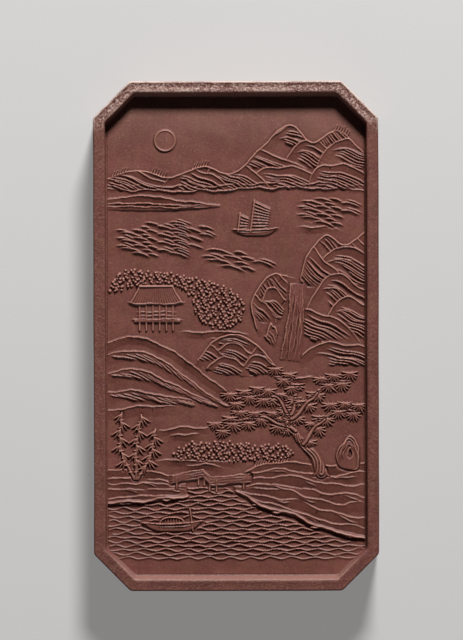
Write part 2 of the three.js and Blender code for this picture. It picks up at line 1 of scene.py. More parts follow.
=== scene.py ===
# %% [markdown]
# A pictorial ink cake: a block of red-brown ink with cut corners. It was pressed in a carved mould and
# has a raised rim round a sunk landscape. The CAD model gives every size and place. Here each part
# gets the form and finish of pressed ink: soft edges, a hand-cut picture, a worn and dusty skin.

from math import atan2, cos, pi, radians, sin
from typing import NamedTuple

import bmesh
import bpy
import numpy as np
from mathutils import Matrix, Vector


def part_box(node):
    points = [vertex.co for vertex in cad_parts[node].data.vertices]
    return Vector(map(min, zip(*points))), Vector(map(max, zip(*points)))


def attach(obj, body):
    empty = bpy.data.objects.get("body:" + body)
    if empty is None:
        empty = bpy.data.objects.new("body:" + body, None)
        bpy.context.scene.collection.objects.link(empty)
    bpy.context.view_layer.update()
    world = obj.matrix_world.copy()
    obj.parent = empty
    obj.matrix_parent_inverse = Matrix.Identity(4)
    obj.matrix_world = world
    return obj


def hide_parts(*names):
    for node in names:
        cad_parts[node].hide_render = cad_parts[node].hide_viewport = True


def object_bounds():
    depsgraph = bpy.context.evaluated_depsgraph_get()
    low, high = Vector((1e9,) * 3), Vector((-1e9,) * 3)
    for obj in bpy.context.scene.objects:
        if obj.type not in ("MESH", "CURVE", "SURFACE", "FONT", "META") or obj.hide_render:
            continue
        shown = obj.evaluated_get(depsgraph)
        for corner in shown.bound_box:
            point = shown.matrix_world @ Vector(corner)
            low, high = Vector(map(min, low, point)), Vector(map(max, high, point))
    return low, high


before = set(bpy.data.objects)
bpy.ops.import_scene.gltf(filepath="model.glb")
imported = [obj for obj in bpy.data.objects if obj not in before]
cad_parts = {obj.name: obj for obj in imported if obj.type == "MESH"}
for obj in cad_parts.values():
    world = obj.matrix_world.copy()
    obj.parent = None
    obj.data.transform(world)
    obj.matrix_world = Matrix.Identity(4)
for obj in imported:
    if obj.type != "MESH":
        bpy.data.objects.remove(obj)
cad_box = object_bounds()
mm = 0.001


def in_mm(box):
    return [[round(value / mm, 2) for value in corner] for corner in box]


print("CAD box in millimetres:", in_mm(cad_box))

# %% [markdown]
# All sizes below are in millimetres, as on the CAD model, and become metres only when a mesh is
# written. The few driving sizes are read from the CAD boxes, so that both models stay in step.

# %% Sizes
def size_of(node):
    low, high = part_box(node)
    return (high - low) / mm


cake_width, cake_length, cake_thickness = (cad_box[1][i] / mm - cad_box[0][i] / mm for i in range(3))
ground_base_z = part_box("picture_ground")[0].z / mm
floor_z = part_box("picture_ground")[1].z / mm
picture_half_x, picture_half_y = (side / 2 for side in size_of("picture_ground")[:2])
corner_cut = 9.4
rim_width = 2.9
edge_round = 0.5
side_draft = 0.35
end_draft = 1.0
back_border = 4.6
back_field_depth = 1.0
back_field_draft = 0.6
print("Block:", cake_width, cake_length, cake_thickness, "floor of the picture at", floor_z)

# %% [markdown]
# The camera stands straight above the picture, a little towards its head. Its long lens shows the block
# nearly without perspective, as a plate in a catalogue does.

# %% Camera
camera_distance = 1500
photo_height = 640
pixels_in_mm = 3.927
view_height = photo_height / pixels_in_mm
aim_x = -1.17
aim_y = 4.07
roll = -0.14
camera_data = bpy.data.cameras.new("camera")
camera_data.sensor_width = 36
camera_data.lens = camera_data.sensor_width * camera_distance / view_height
camera_data.clip_end = 20
camera = bpy.data.objects.new("camera", camera_data)
bpy.context.scene.collection.objects.link(camera)
camera.location = Vector((aim_x, aim_y, cake_thickness + camera_distance)) * mm
camera.rotation_euler = (0, 0, radians(roll))
bpy.context.scene.camera = camera
print("Lens:", round(camera_data.lens, 1))

# %% [markdown]
# A soft lamp rakes over the cake from the head of the picture, low enough to throw the rim's shadow into
# the recess. That light is what makes such shallow carving readable. A faint lamp before its foot and a
# faint world light fill the shadows.

# %% Lamps
lamp_distance = 1.2


def studio_lamp(name, elevation, turn, size, energy):
    """A round lamp that looks at the cake. A turn of 0 stands beyond its head, and 180 before its foot."""
    lamp_data = bpy.data.lights.new(name, "AREA")
    lamp_data.shape = "DISK"
    lamp_data.size = size
    lamp_data.energy = energy
    lamp = bpy.data.objects.new(name, lamp_data)
    bpy.context.scene.collection.objects.link(lamp)
    level = cos(radians(elevation))
    direction = Vector((level * sin(radians(turn)), level * cos(radians(turn)), sin(radians(elevation))))
    lamp.location = direction * lamp_distance
    lamp.rotation_euler = direction.to_track_quat("Z", "Y").to_euler()
    print(name, "stands at", [round(value, 2) for value in lamp.location], "metres")


studio_lamp("raking_lamp", elevation=33.5, turn=9, size=0.28, energy=23)
studio_lamp("fill_lamp", elevation=9, turn=180, size=0.5, energy=1.3)

# %% World
world_strength = 0.017
world = bpy.data.worlds.new("studio")
bpy.context.scene.world = world
world.use_nodes = True
background = world.node_tree.nodes["Background"]
background.inputs["Color"].default_value = (1.0, 0.98, 0.96, 1)
background.inputs["Strength"].default_value = world_strength
bpy.context.scene.view_settings.view_transform = "Standard"

# %% [markdown]
# Materials are built from nodes. Writing shader maths as Python expressions keeps them short: Value
# wraps an output of a node, and its operators add Math nodes.

# %% A small language for shaders
class Value:
    """A number that changes over the surface."""

    def __init__(self, shader, socket):
        self.shader = shader
        self.socket = socket

    def math(self, operation, *values):
        return self.shader.value("ShaderNodeMath", {"operation": operation}, dict(enumerate(values)))

    def __add__(self, other):
        return self.math("ADD", self, other)

    def __sub__(self, other):
        return self.math("SUBTRACT", self, other)

    def __rsub__(self, other):
        return self.math("SUBTRACT", other, self)

    def __mul__(self, other):
        return self.math("MULTIPLY", self, other)

    __radd__ = __add__
    __rmul__ = __mul__

    def clipped(self):
        return self.math("MINIMUM", self.math("MAXIMUM", self, 0.0), 1.0)

    def ramp(self, low, high):
        """0 below low, 1 above high, smooth between. low may be the greater one."""
        if low > high:
            return 1 - self.ramp(high, low)
        settings = {"interpolation_type": "SMOOTHSTEP"}
        values = {"Value": self, "From Min": low, "From Max": high}
        return self.shader.value("ShaderNodeMapRange", settings, values, "Result")


# %% [markdown]
# A Shader is a material under construction. Its methods are what ink needs: noise for dough and grain,
# specks for dust, layers of colour, and a bump for the skin. Its patterns read object coordinates in
# millimetres, so they have their real size and never slide.

# %% Shader
class Shader:

    def __init__(self, name):
        self.material = bpy.data.materials.new(name)
        self.material.use_nodes = True
        self.tree = self.material.node_tree
        self.surface = self.tree.nodes["Principled BSDF"]

    def node(self, kind, settings, values):
        node = self.tree.nodes.new(kind)
        for name, setting in settings.items():
            setattr(node, name, setting)
        for name, value in values.items():
            self.feed(node.inputs[name], value)
        return node

    def value(self, kind, settings, values, output=0):
        """One output of a new node."""
        return Value(self, self.node(kind, settings, values).outputs[output])

    def feed(self, socket, value):
        if isinstance(value, Value):
            self.tree.links.new(value.socket, socket)
        else:
            socket.default_value = value

    def place(self, stretch=(1, 1, 1)):
        """Object coordinates in millimetres, stretched along the axes."""
        coordinates = self.value("ShaderNodeTexCoord", {}, {}, "Object")
        scale = tuple(factor / mm for factor in stretch)
        return self.value("ShaderNodeVectorMath", {"operation": "MULTIPLY"}, {0: coordinates, 1: scale})

    def axes(self):
        node = self.node("ShaderNodeSeparateXYZ", {}, {0: self.place()})
        return [Value(self, output) for output in node.outputs]

    def noise(self, per_mm, detail=3.0, roughness=0.55, stretch=(1, 1, 1)):
        values = {
            "Vector": self.place(stretch),
            "Scale": per_mm,
            "Detail": detail,
            "Roughness": roughness,
        }
        return self.value("ShaderNodeTexNoise", {}, values)

    def specks(self, per_mm, radius, share):
        """Small spots, 1 at their middle. Only that share of the cells has one."""
        values = {"Vector": self.place(), "Scale": per_mm}
        node = self.node("ShaderNodeTexVoronoi", {}, values)
        spot = Value(self, node.outputs["Distance"]).ramp(radius, radius * 0.4)
        chosen = self.value("ShaderNodeSeparateColor", {}, {0: Value(self, node.outputs["Color"])})
        return spot * chosen.ramp(1 - share, 1 - share + 0.02)

    def stored(self, name):
        return self.value("ShaderNodeAttribute", {"attribute_name": name}, {}, "Fac")

    def mix(self, share, first, second):
        return self.value("ShaderNodeMix", {"data_type": "RGBA"}, {0: share, 6: first, 7: second}, 2)

    def layered(self, color, *layers):
        """Lays colours over the first one. Each layer is a share from 0 to 1 and a colour."""
        for share, tone in layers:
            color = self.mix(share, color, tone)
        return color

    def bump(self, height, depth_mm):
        values = {"Height": height, "Distance": depth_mm * mm, "Strength": 1.0}
        return self.value("ShaderNodeBump", {}, values, "Normal")

    def finish(self, color, roughness, normal):
        self.feed(self.surface.inputs["Base Color"], color)
        self.feed(self.surface.inputs["Roughness"], roughness)
        self.feed(self.surface.inputs["Normal"], normal)
        print(self.material.name, "has", len(self.tree.nodes), "nodes")
        return self.material


def linear(red, green, blue):
    """A colour as picked on a screen, 0 to 255, as the renderer wants it."""
    shares = (channel / 255 for channel in (red, green, blue))
    return tuple(s / 12.92 if s <= 0.04045 else ((s + 0.055) / 1.055) ** 2.4 for s in shares) + (1.0,)


# %% [markdown]
# Pressed ink is a baked dough of pigment and glue. Its skin is dull and slightly greasy, with mottling
# from the dough, fine grain from the wooden mould, and pale dust. Raised lines are painted lighter, as
# rubbed wear and as painted highlight, and hollows are painted darker, as painted shade over a little
# gathered ink. How high a place stands above its neighbourhood lies in the mesh as an attribute, so that
# this wear and painted light follow the carving exactly.

# %% Colours of the ink
ink_dark = linear(97, 52, 42)
ink_plain = linear(113, 63, 52)
ink_light = linear(127, 76, 64)
# The crest colour: rubbed ink and painted highlight.
rubbed_ink_and_highlight = linear(184, 133, 117)
ink_deep = linear(74, 32, 26)
# A pale ink: the head's patina, and painted light on the rim's inner walls.
pale_patina_and_wall_light = linear(150, 108, 98)
ink_brown = linear(118, 76, 52)
ink_red = linear(112, 54, 54)
ink_grain = linear(150, 98, 86)
# Pale dust, also used as painted highlight on the rim's edges.
pale_dust_and_highlight = linear(200, 176, 164)


def patch_layers(patches, brown, red):
    """The dough was never mixed evenly: brownish patches, and reddish ones between them."""
    return [(patches.ramp(0.5, 0.62) * brown, ink_brown), (patches.ramp(0.5, 0.38) * red, ink_red)]


def grain_layers(grain, light, deep, light_from=0.62):
    """The grain of the wooden mould: pale points and dark pores."""
    return [(grain.ramp(0.5, light_from) * light, ink_grain), (grain.ramp(0.48, 0.36) * deep, ink_deep)]


# %% [markdown]
# The picture's ink starts from uneven dough and takes on streaks, grain, dust near its head, fine cracks,
# and wear with painted light: lighter crests and darker hollows. Each layer is a share and a colour, and
# it is laid over the ones before it.

# %% Ink of the picture
def ink_material(name):
    shader = Shader(name)
    y = shader.axes()[1]
    mottle = shader.noise(0.11, 5, 0.6)
    patches = shader.noise(0.28, 4, 0.6)
    streaks = shader.noise(0.35, 3, 0.5, (1, 0.12, 1))
    grain = shader.noise(1.7, 4, 0.7)
    threads = shader.noise(0.5, 3, 0.6, (1, 0.04, 1))
    cracks = threads.ramp(0.492, 0.5) * threads.ramp(0.508, 0.5) * mottle.ramp(0.45, 0.6)
    wear_and_painted_light = shader.stored("wear_and_painted_light")
    fine_dust = 0.06 + 0.2 * y.ramp(0, 55) + 0.2 * mottle
    color = shader.layered(
        shader.mix(mottle.ramp(0.3, 0.7), ink_dark, ink_light),
        (0.45, ink_plain),
        *patch_layers(patches, brown=0.2, red=0.3),
        (streaks.ramp(0.5, 0.7) * 0.3, ink_dark),
        *grain_layers(grain, light=0.2, deep=0.2, light_from=0.66),
        (y.ramp(44, 60) * 0.07, pale_dust_and_highlight),
        (cracks * 0.35, ink_deep),
        # Painted shade darkens the hollows over a little gathered ink; rubbed wear and painted highlight
        # lighten the crests.
        (wear_and_painted_light.ramp(0.5, 0.12) * 0.8, ink_deep),
        (wear_and_painted_light.ramp(0.56, 0.98) * (0.5 + 0.5 * grain), rubbed_ink_and_highlight),
        (shader.specks(0.9, 0.15, 0.08) * 0.25, pale_dust_and_highlight),
        (shader.specks(2.1, 0.3, 0.09) * fine_dust, pale_dust_and_highlight),
    )
    roughness = 0.5 + 0.16 * (grain - 0.5) + 0.1 * mottle
    normal = shader.bump(grain + 0.5 * shader.noise(7.0, 2), 0.04)
    return shader.finish(color, roughness, normal)


relief_ink = ink_material("relief_ink")


# %% [markdown]
# The rim has been handled most. Its head and the cut corners beside it carry a coarse patina with bright
# grains. Their outer edge, which faces the lamp, is painted to a pale line: painted highlight, with some
# dust. Elsewhere the outer edge is painted darker, as painted shade, and so is the groove between burr and
# lip. The inner walls are painted lighter, most at the head and the foot, and the upper part of the wall
# away from the head paler still: painted light. The sides are finer and the foot is plain. The layers run
# from the dough itself through the patina of the head to wear, dust and painted light.

# %% Patina and painted light of the rim
def rim_material(name):
    shader = Shader(name)
    _, y, z = shader.axes()
    mottle = shader.noise(0.2, 5, 0.6)
    grain = shader.noise(2.2, 4, 0.7)
    crumbs = shader.noise(1.8, 3, 0.75, (0.8, 1, 1))
    patches = shader.noise(0.3, 4, 0.65, (0.55, 1, 1))
    smears = shader.noise(0.9, 4, 0.7, (0.5, 1, 1))
    wear_and_painted_light = shader.stored("wear_and_painted_light")
    painted_wall_light = shader.stored("painted_wall_light")
    corner_y = cake_length / 2 - corner_cut
    head = y.ramp(corner_y - 5, corner_y + 2)
    top = z.ramp(cake_thickness - 0.9, cake_thickness - 0.15)
    # Painted highlight with some dust: the outer edge at the head, which faces the lamp, is painted pale.
    outer_edge_dust_and_highlight = wear_and_painted_light.ramp(0.75, 1.0) * (0.1 + 0.9 * crumbs + 0.9 * patches.ramp(0.4, 0.6)) * head
    # Painted highlight: the upper part of the inner wall away from the head is painted paler.
    lower_lip_highlight = painted_wall_light * z.ramp(cake_thickness - 1.6, cake_thickness - 0.5) * (1 - head)
    color = shader.layered(
        shader.mix(mottle.ramp(0.35, 0.6), ink_dark, ink_plain),
        *patch_layers(patches, brown=0.3, red=0.4),
        *grain_layers(grain, light=0.3, deep=0.35),
        (head * top * smears.ramp(0.35, 0.65) * 0.7, pale_patina_and_wall_light),
        (head * top * patches.ramp(0.45, 0.6) * 0.2, pale_dust_and_highlight),
        (head * top * patches.ramp(0.5, 0.36) * 0.35, ink_deep),
        (crumbs.ramp(0.54, 0.6) * (0.08 + 0.75 * head) * top, pale_dust_and_highlight),
        (crumbs.ramp(0.47, 0.41) * (0.2 + 0.55 * head) * top, ink_deep),
        # Painted shade: the groove between burr and lip is painted a little darker.
        (wear_and_painted_light.ramp(0.5, 0.25) * 0.25, ink_deep),
        (outer_edge_dust_and_highlight.clipped(), pale_dust_and_highlight),
        # Painted shade: the outer edge away from the head is painted darker.
        (wear_and_painted_light.ramp(0.86, 0.95) * (1 - head) * 0.45, ink_deep),
        (shader.specks(1.1, 0.22, 0.14) * (0.25 + 0.6 * head), pale_dust_and_highlight),
        # Painted light: the inner walls are painted lighter, most at the head and the foot.
        (painted_wall_light * (0.65 + 0.6 * (grain - 0.5)), pale_patina_and_wall_light),
        (lower_lip_highlight * (0.1 + 0.9 * crumbs.ramp(0.45, 0.7)) * 0.4, pale_dust_and_highlight),
    )
    roughness = 0.52 + 0.2 * (grain - 0.5)
    normal = shader.bump(grain + 1.2 * crumbs * head + 0.4 * mottle, 0.12)
    return shader.finish(color, roughness, normal)


rim_ink = rim_material("rim_ink")


# %% [markdown]
# The block's flat faces came from smooth boards of the mould, so the body of the cake is plainer, with a
# few fine scratches along it.

# %% Body of the block
def body_material(name):
    shader = Shader(name)
    mottle = shader.noise(0.09, 5, 0.6)
    patches = shader.noise(0.2, 4, 0.6)
    grain = shader.noise(2.4, 4, 0.65)
    scratches = shader.noise(1.6, 2, 0.5, (1, 0.03, 1))
    color = shader.layered(
        shader.mix(mottle.ramp(0.3, 0.7), ink_dark, ink_light),
        (0.4, ink_plain),
        *patch_layers(patches, brown=0.25, red=0.35),
        (scratches.ramp(0.6, 0.72) * 0.3, ink_light),
        *grain_layers(grain, light=0.25, deep=0.3),
        (shader.specks(0.8, 0.15, 0.08) * 0.4, pale_dust_and_highlight),
    )
    roughness = 0.5 + 0.2 * (grain - 0.5)
    normal = shader.bump(grain + 0.3 * scratches + 0.6 * mottle, 0.06)
    return shader.finish(color, roughness, normal)


body_ink = body_material("body_ink")


# %% [markdown]
# The rim and the body are drawn as rings: a flat ring of points is laid along the outline of the cake,
# and each further ring is extruded from the last and put in its place. That is how a frame of one steady
# section is modelled by hand. The outline wavers by a few hundredths of a millimetre, because the cake
# shrank a little unevenly as it dried.

# %% The outline of the cake
def smooth(share):
    """Eases from 0 to 1."""
    share = np.clip(share, 0, 1)
    return share * share * (3 - 2 * share)


corner_radius = 0.7
corner_steps = 4
side_step = 2.4


def octagon(inset_x, inset_y):
    """The corners of the outline, drawn in from its sides and its ends."""
    x = cake_width / 2 - inset_x
    y = cake_length / 2 - inset_y
    cut = corner_cut - (inset_x + inset_y) * (1 - 0.5**0.5)
    quarter = [(x, cut - y), (x, y - cut), (x - cut, y), (cut - x, y)]
    return [Vector((a, b, 0)) for a, b in quarter] + [Vector((-a, -b, 0)) for a, b in quarter]


def waver(seed):
    """A number between -1 and 1 that looks like chance and is the same every time."""
    return sin(seed * 12.9898) * cos(seed * 4.1414 + 1)


def drift(share):
    """How far the outline has shrunk at a share of the way round it, between 0 and 1."""
    turn = 2 * pi * share
    return 0.5 + 0.22 * sin(3 * turn + 1) + 0.16 * sin(7 * turn + 2.2) + 0.12 * sin(17 * turn)


side_counts = [
    max(4, round((after - before).length / side_step))
    for before, after in zip(octagon(0, 0), octagon(0, 0)[1:] + octagon(0, 0)[:1])
]


def outline_ring(inset_x, inset_y, z, shrink=0.14):
    """The cake's outline as points, drawn in from the outer faces, with its corners rounded."""
    corners = octagon(inset_x, inset_y)
    ring = []
    for i, corner in enumerate(corners):
        before = corners[i - 1]
        after = corners[(i + 1) % 8]
        into = (corner - before).normalized()
        out = (after - corner).normalized()
        for step in range(corner_steps + 1):
            share = step / corner_steps
            start = corner - into * corner_radius
            end = corner + out * corner_radius
            ring.append(start.lerp(corner, share).lerp(corner.lerp(end, share), share))
        first = corner + out * corner_radius
        last = after - out * corner_radius
        for step in range(1, side_counts[i]):
            ring.append(first.lerp(last, step / side_counts[i]))
    count = len(ring)
    drawn_in = []
    for i, point in enumerate(ring):
        along = (ring[(i + 1) % count] - ring[i - 1]).normalized()
        inward = Vector((-along.y, along.x, 0))
        drawn_in.append(point + inward * shrink * drift(i / count) + Vector((0, 0, z)))
    return [point * mm for point in drawn_in]


print("Points round the cake:", len(outline_ring(0, 0, 0)))


# %% [markdown]
# An edge loop is extruded in place and keeps its order round the middle. So each ring of new points is
# sorted by its angle, and the loop's vertices take their new places one by one.

# %% Modelling in rings
def deselect_all():
    if bpy.context.object is not None and bpy.context.object.mode != "OBJECT":
        bpy.ops.object.mode_set(mode="OBJECT")
    bpy.ops.object.select_all(action="DESELECT")


def angle_round_middle(point):
    return atan2(point.y, point.x)


def lay_ring(piece, old, new):
    """Moves the selected ring of vertices from its old places to new ones."""
    mesh = bmesh.from_edit_mesh(piece.data)
    chosen = sorted((v for v in mesh.verts if v.select), key=lambda v: angle_round_middle(v.co))
    order = sorted(range(len(old)), key=lambda i: angle_round_middle(old[i]))
    for vertex, i in zip(chosen, order):
        vertex.co = new[i]
    bmesh.update_edit_mesh(piece.data)


def circle_points(count):
    return [Vector((cos(2 * pi * i / count), sin(2 * pi * i / count), 0)) for i in range(count)]


def select_open_edges(piece):
    bpy.ops.mesh.select_all(action="DESELECT")
    bpy.ops.mesh.select_mode(type="EDGE")
    bpy.ops.mesh.select_non_manifold(extend=False, use_wire=True, use_boundary=True)


def ring_piece(name, rings, is_hoop):
    """A piece through rings. A hoop closes on itself, and another piece gets a face at each end."""
    deselect_all()
    bpy.ops.mesh.primitive_circle_add(vertices=len(rings[0]), radius=1)
    piece = bpy.context.object
    piece.name = name
    bpy.ops.object.mode_set(mode="EDIT")
    bpy.ops.mesh.select_all(action="SELECT")
    start = sorted(circle_points(len(rings[0])), key=angle_round_middle)
    first = sorted(rings[0], key=angle_round_middle)
    lay_ring(piece, start, first)
    for old, new in zip(rings, rings[1:]):
        bpy.ops.mesh.extrude_edges_move()
        lay_ring(piece, old, new)
    select_open_edges(piece)
    if is_hoop:
        bpy.ops.mesh.bridge_edge_loops()
    else:
        bpy.ops.mesh.fill_holes(sides=0)
    bpy.ops.mesh.select_all(action="SELECT")
    bpy.ops.mesh.normals_make_consistent(inside=False)
    bpy.ops.object.mode_set(mode="OBJECT")
    return piece


def finish_piece(piece, material, nodes, smooth_angle=40):
    piece.data.materials.clear()
    piece.data.materials.append(material)
    deselect_all()
    piece.select_set(True)
    bpy.context.view_layer.objects.active = piece
    bpy.ops.object.shade_smooth_by_angle(angle=radians(smooth_angle))
    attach(piece, "root")
    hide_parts(*nodes)
    print(piece.name, "faces:", len(piece.data.polygons))


# %% [markdown]
# The rim's section has a raised burr along its outer edge and a fuller lip along the picture, where the
# mould's plates met. Both catch the light as fine bright lines. Its inner wall leans back, so that the
# cake could leave the mould.

# %% Section of the rim
rim_edge_round = 0.35
round_steps = 4
head_fade = 8
worn_away = 0.8
burr_wave = 0.09


def quarter_round(inset, top_z, radius):
    """Stations over a rounded edge, from the upright face to the level one."""
    stations = []
    for step in range(round_steps + 1):
        turn = (step / round_steps) * pi / 2
        stations.append((inset + radius * (1 - cos(turn)), top_z - radius * (1 - sin(turn))))
    return stations


def worn_level(ring):
    """The groove between burr and lip is deep at the head and nearly worn away elsewhere."""
    for point in ring:
        at_head = float(smooth((point.y / mm - cake_length / 2 + corner_cut + head_fade) / head_fade))
        drop = cake_thickness * mm - point.z
        point.z += drop * worn_away * (1 - at_head)
        wave = sin(point.x / mm * 0.7 + 1) + 0.7 * sin(point.x / mm * 1.25)
        point.y += burr_wave * mm * at_head * wave
    return ring


rim_stations = [(0, ground_base_z), (0, ground_base_z + 1.5), (0, cake_thickness - 1.2)]
rim_stations += quarter_round(0, cake_thickness, rim_edge_round)
burr_to_lip = [
    (0.5, 0.02), (0.72, 0.11), (1.2, 0.17), (1.7, 0.15), (2.1, 0.03), (2.35, 0), (2.7, 0.05), (2.84, 0.12),
    (2.92, 0.24), (2.96, 0.45),
]
rim_stations += [(inset, cake_thickness - drop) for inset, drop in burr_to_lip]
rim_rings = [outline_ring(inset, inset, z) for inset, z in rim_stations]
lip_stations = 5
grooved = range(len(rim_stations) - len(burr_to_lip), len(rim_stations) - lip_stations)
rim_rings = [worn_level(ring) if i in grooved else ring for i, ring in enumerate(rim_rings)]
print("Rings over the top of the rim:", len(rim_rings))

# %% [markdown]
# The wall runs down to the floor of the picture and flares out a little below the edge of the ground,
# so that only the fine crevice of the real cake shows between them. Then it closes at the base of the
# ground plate, where nobody sees it.

# %% Rim
wall_top_inset, wall_top_drop = burr_to_lip[-1]
wall_top_z = cake_thickness - wall_top_drop
wall_foot_z = floor_z + 0.12
wall_steps = 4
for step in range(1, wall_steps + 1):
    share = step / wall_steps
    z = wall_top_z + (wall_foot_z - wall_top_z) * share
    inset_x = wall_top_inset + (side_draft - 0.14) * share
    inset_y = wall_top_inset + (end_draft - 0.22) * share
    rim_rings.append(outline_ring(inset_x, inset_y, z))
hidden_foot = [(0.04, floor_z + 0.03), (0.25, floor_z - 0.04), (0.25, floor_z - 0.4), (0, ground_base_z)]
for flare, z in hidden_foot:
    rim_rings.append(outline_ring(rim_width + side_draft + flare, rim_width + end_draft + flare, z))
rim = ring_piece("rim_frame", rim_rings, True)

# %% [markdown]
# Wear and painted light are set on the vertices as an attribute, from 0 in a hollow to 1 on a rubbed or
# lit edge. On the rim it follows the distance from the outline: bright along the burr and the lip, darker
# between them and along the outer edge away from the head, as painted highlight and painted shade. A
# second attribute paints the inner walls lighter, as painted light.

# %% Wear and painted light of the rim
def inset_of(x, y):
    """How far a place lies inside the outline of the cake."""
    corner = (cake_width / 2 - np.abs(x) + cake_length / 2 - np.abs(y) - corner_cut) * 0.5**0.5
    return np.minimum(np.minimum(cake_width / 2 - np.abs(x), cake_length / 2 - np.abs(y)), corner)


def store_share(piece, name, values):
    attribute = piece.data.attributes.new(name, "FLOAT", "POINT")
    attribute.data.foreach_set("value", values)


def coordinates(mesh):
    values = np.zeros(len(mesh.vertices) * 3)
    mesh.vertices.foreach_get("co", values)
    return values.reshape(-1, 3)


places = coordinates(rim.data) / mm
inset = inset_of(places[:, 0], places[:, 1])
# Wear with painted highlight and painted shade: pale at the outer edge and along the lip, darker in the
# groove between them.
wear_and_light_insets = (0, 0.15, 0.45, 0.8, 1.7, 2.05, 2.4, 2.7, 3.0)
wear_and_light_shares = (0.95, 1.0, 0.88, 0.45, 0.5, 0.65, 0.84, 0.84, 0.6)
rim_wear_and_painted_light = np.interp(inset, wear_and_light_insets, wear_and_light_shares)
low_part = smooth((cake_thickness - 0.9 - places[:, 2]) / 0.6)
rim_wear_and_painted_light = rim_wear_and_painted_light * (1 - low_part) + 0.5 * low_part
store_share(rim, "wear_and_painted_light", rim_wear_and_painted_light)
# Painted light on the inner walls, strongest at the head and the foot.
on_wall = smooth((inset - rim_width + 0.1) / 0.1) * smooth((places[:, 2] - floor_z - 0.03) / 0.15)
at_end = smooth((np.abs(places[:, 1]) - cake_length / 2 + corner_cut + 1) / (corner_cut / 2))
store_share(rim, "painted_wall_light", on_wall * (0.25 + 0.75 * at_end))
finish_piece(rim, rim_ink, ["rim"])

# %% [markdown]
# The body carries the rim on the same outline. Its back has a bare sunk field with soft edges.

# %% Body
field_z = back_field_depth
inner_inset = back_border + back_field_draft
body_rings = [outline_ring(inset, inset, field_z) for inset in (inner_inset + 6, inner_inset + 0.25)]
body_rings += [
    outline_ring(inner_inset - 0.05, inner_inset - 0.05, field_z - 0.06),
    outline_ring(back_border + 0.12, back_border + 0.12, 0.14),
    outline_ring(back_border - 0.12, back_border - 0.12, 0),
    outline_ring(edge_round + 0.6, edge_round + 0.6, 0),
]
for inset, height in quarter_round(0, 0, edge_round)[::-1]:
    body_rings.append(outline_ring(inset, inset, -height))
for share in (0.2, 0.5, 0.8, 1):
    body_rings.append(outline_ring(0, 0, edge_round + (ground_base_z - edge_round) * share))
body = ring_piece("ink_body", body_rings, False)
finish_piece(body, body_ink, ["back_slab"])

# %% [markdown]
# The picture is low relief: every line of it was cut into the mould as a groove. A relief has one
# height over each place of the ground, so it is drawn as a height field, a fine lattice of heights, with
# one function for each way of carving. Extruding every line by hand could not give lines that grow, thin
# out and run into each other. Each motif then becomes a piece of its own, cut from the lattice.

# %% The lattice
pitch = 0.13
half_columns = int(picture_half_x / pitch + 1e-6)
half_rows = int(picture_half_y / pitch + 1e-6)
xs = pitch * np.arange(-half_columns, half_columns + 1)
ys = pitch * np.arange(-half_rows, half_rows + 1)
across, up = np.meshgrid(xs, ys)
print("Lattice:", across.shape)


def soften(field, passes):
    """Blurs a field by a step of the lattice, several times."""
    for _ in range(passes):
        padded = np.pad(field, 1, mode="edge")
        field = (padded[:-2, 1:-1] + 2 * padded[1:-1, 1:-1] + padded[2:, 1:-1]) / 4
        padded = np.pad(field, 1, mode="edge")
        field = (padded[1:-1, :-2] + 2 * padded[1:-1, 1:-1] + padded[1:-1, 2:]) / 4
    return field


def steps_of(length):
    return max(1, round(length / pitch))


# %% [markdown]
# The carver's curves run through a few marks. A mark is a place on the picture: u runs from -1 at its
# left edge to 1 at its right, and v from its foot to its top. The curve is the same kind as on the CAD
# model, so that both follow each other. Every line is a row of evenly spread points.

# %% Curves
line_spacing = 0.25


def place_on(mark):
    return np.array([mark[0] * picture_half_x, mark[1] * picture_half_y])


def stand_at(mark, points):
    return [place_on(mark) + np.array(point) for point in points]


def spaced(points):
    """Points spread evenly along a line."""
    points = np.asarray(points, float)
    lengths = np.hypot(*np.diff(points, axis=0).T)
    run = np.concatenate([[0], np.cumsum(lengths)])
    count = max(2, int(run[-1] / line_spacing) + 1)
    at = np.linspace(0, run[-1], count)
    return np.stack([np.interp(at, run, points[:, 0]), np.interp(at, run, points[:, 1])], axis=1)


def length_of(line):
    return len(line) * line_spacing


print("A straight line of 10 mm has", len(spaced([(0, 0), (10, 0)])), "points")


def curve_through(marks, closed=False):
    """A curve through marks that bends evenly, also where they lie far apart."""
    points = [place_on(mark) for mark in marks]
    if closed:
        points = [points[-1], *points, points[0], points[1]]
    else:
        points = [2 * points[0] - points[1], *points, 2 * points[-1] - points[-2]]
    share = np.linspace(0, 1, 24, endpoint=False)[:, None]
    runs = []
    for a, b, c, d in zip(points, points[1:], points[2:], points[3:]):
        gaps = [max(np.hypot(*(q - p)) ** 0.5, 1e-4) for p, q in ((a, b), (b, c), (c, d))]
        into = (b - a) / gaps[0] - (c - a) / (gaps[0] + gaps[1]) + (c - b) / gaps[1]
        out = (c - b) / gaps[1] - (d - b) / (gaps[1] + gaps[2]) + (d - c) / gaps[2]
        into *= gaps[1]
        out *= gaps[1]
        cubic = 2 * b - 2 * c + into + out
        square = 3 * c - 3 * b - 2 * into - out
        runs.append(b + into * share + square * share**2 + cubic * share**3)
    end = points[1] if closed else points[-2]
    return spaced(np.vstack([*runs, end[None]]))


def at_share(line, share):
    """The place at a share of a line's length. The line's points are evenly spread."""
    at = np.asarray(share) * (len(line) - 1)
    index = np.arange(len(line))
    return np.stack([np.interp(at, index, line[:, 0]), np.interp(at, index, line[:, 1])], axis=-1)


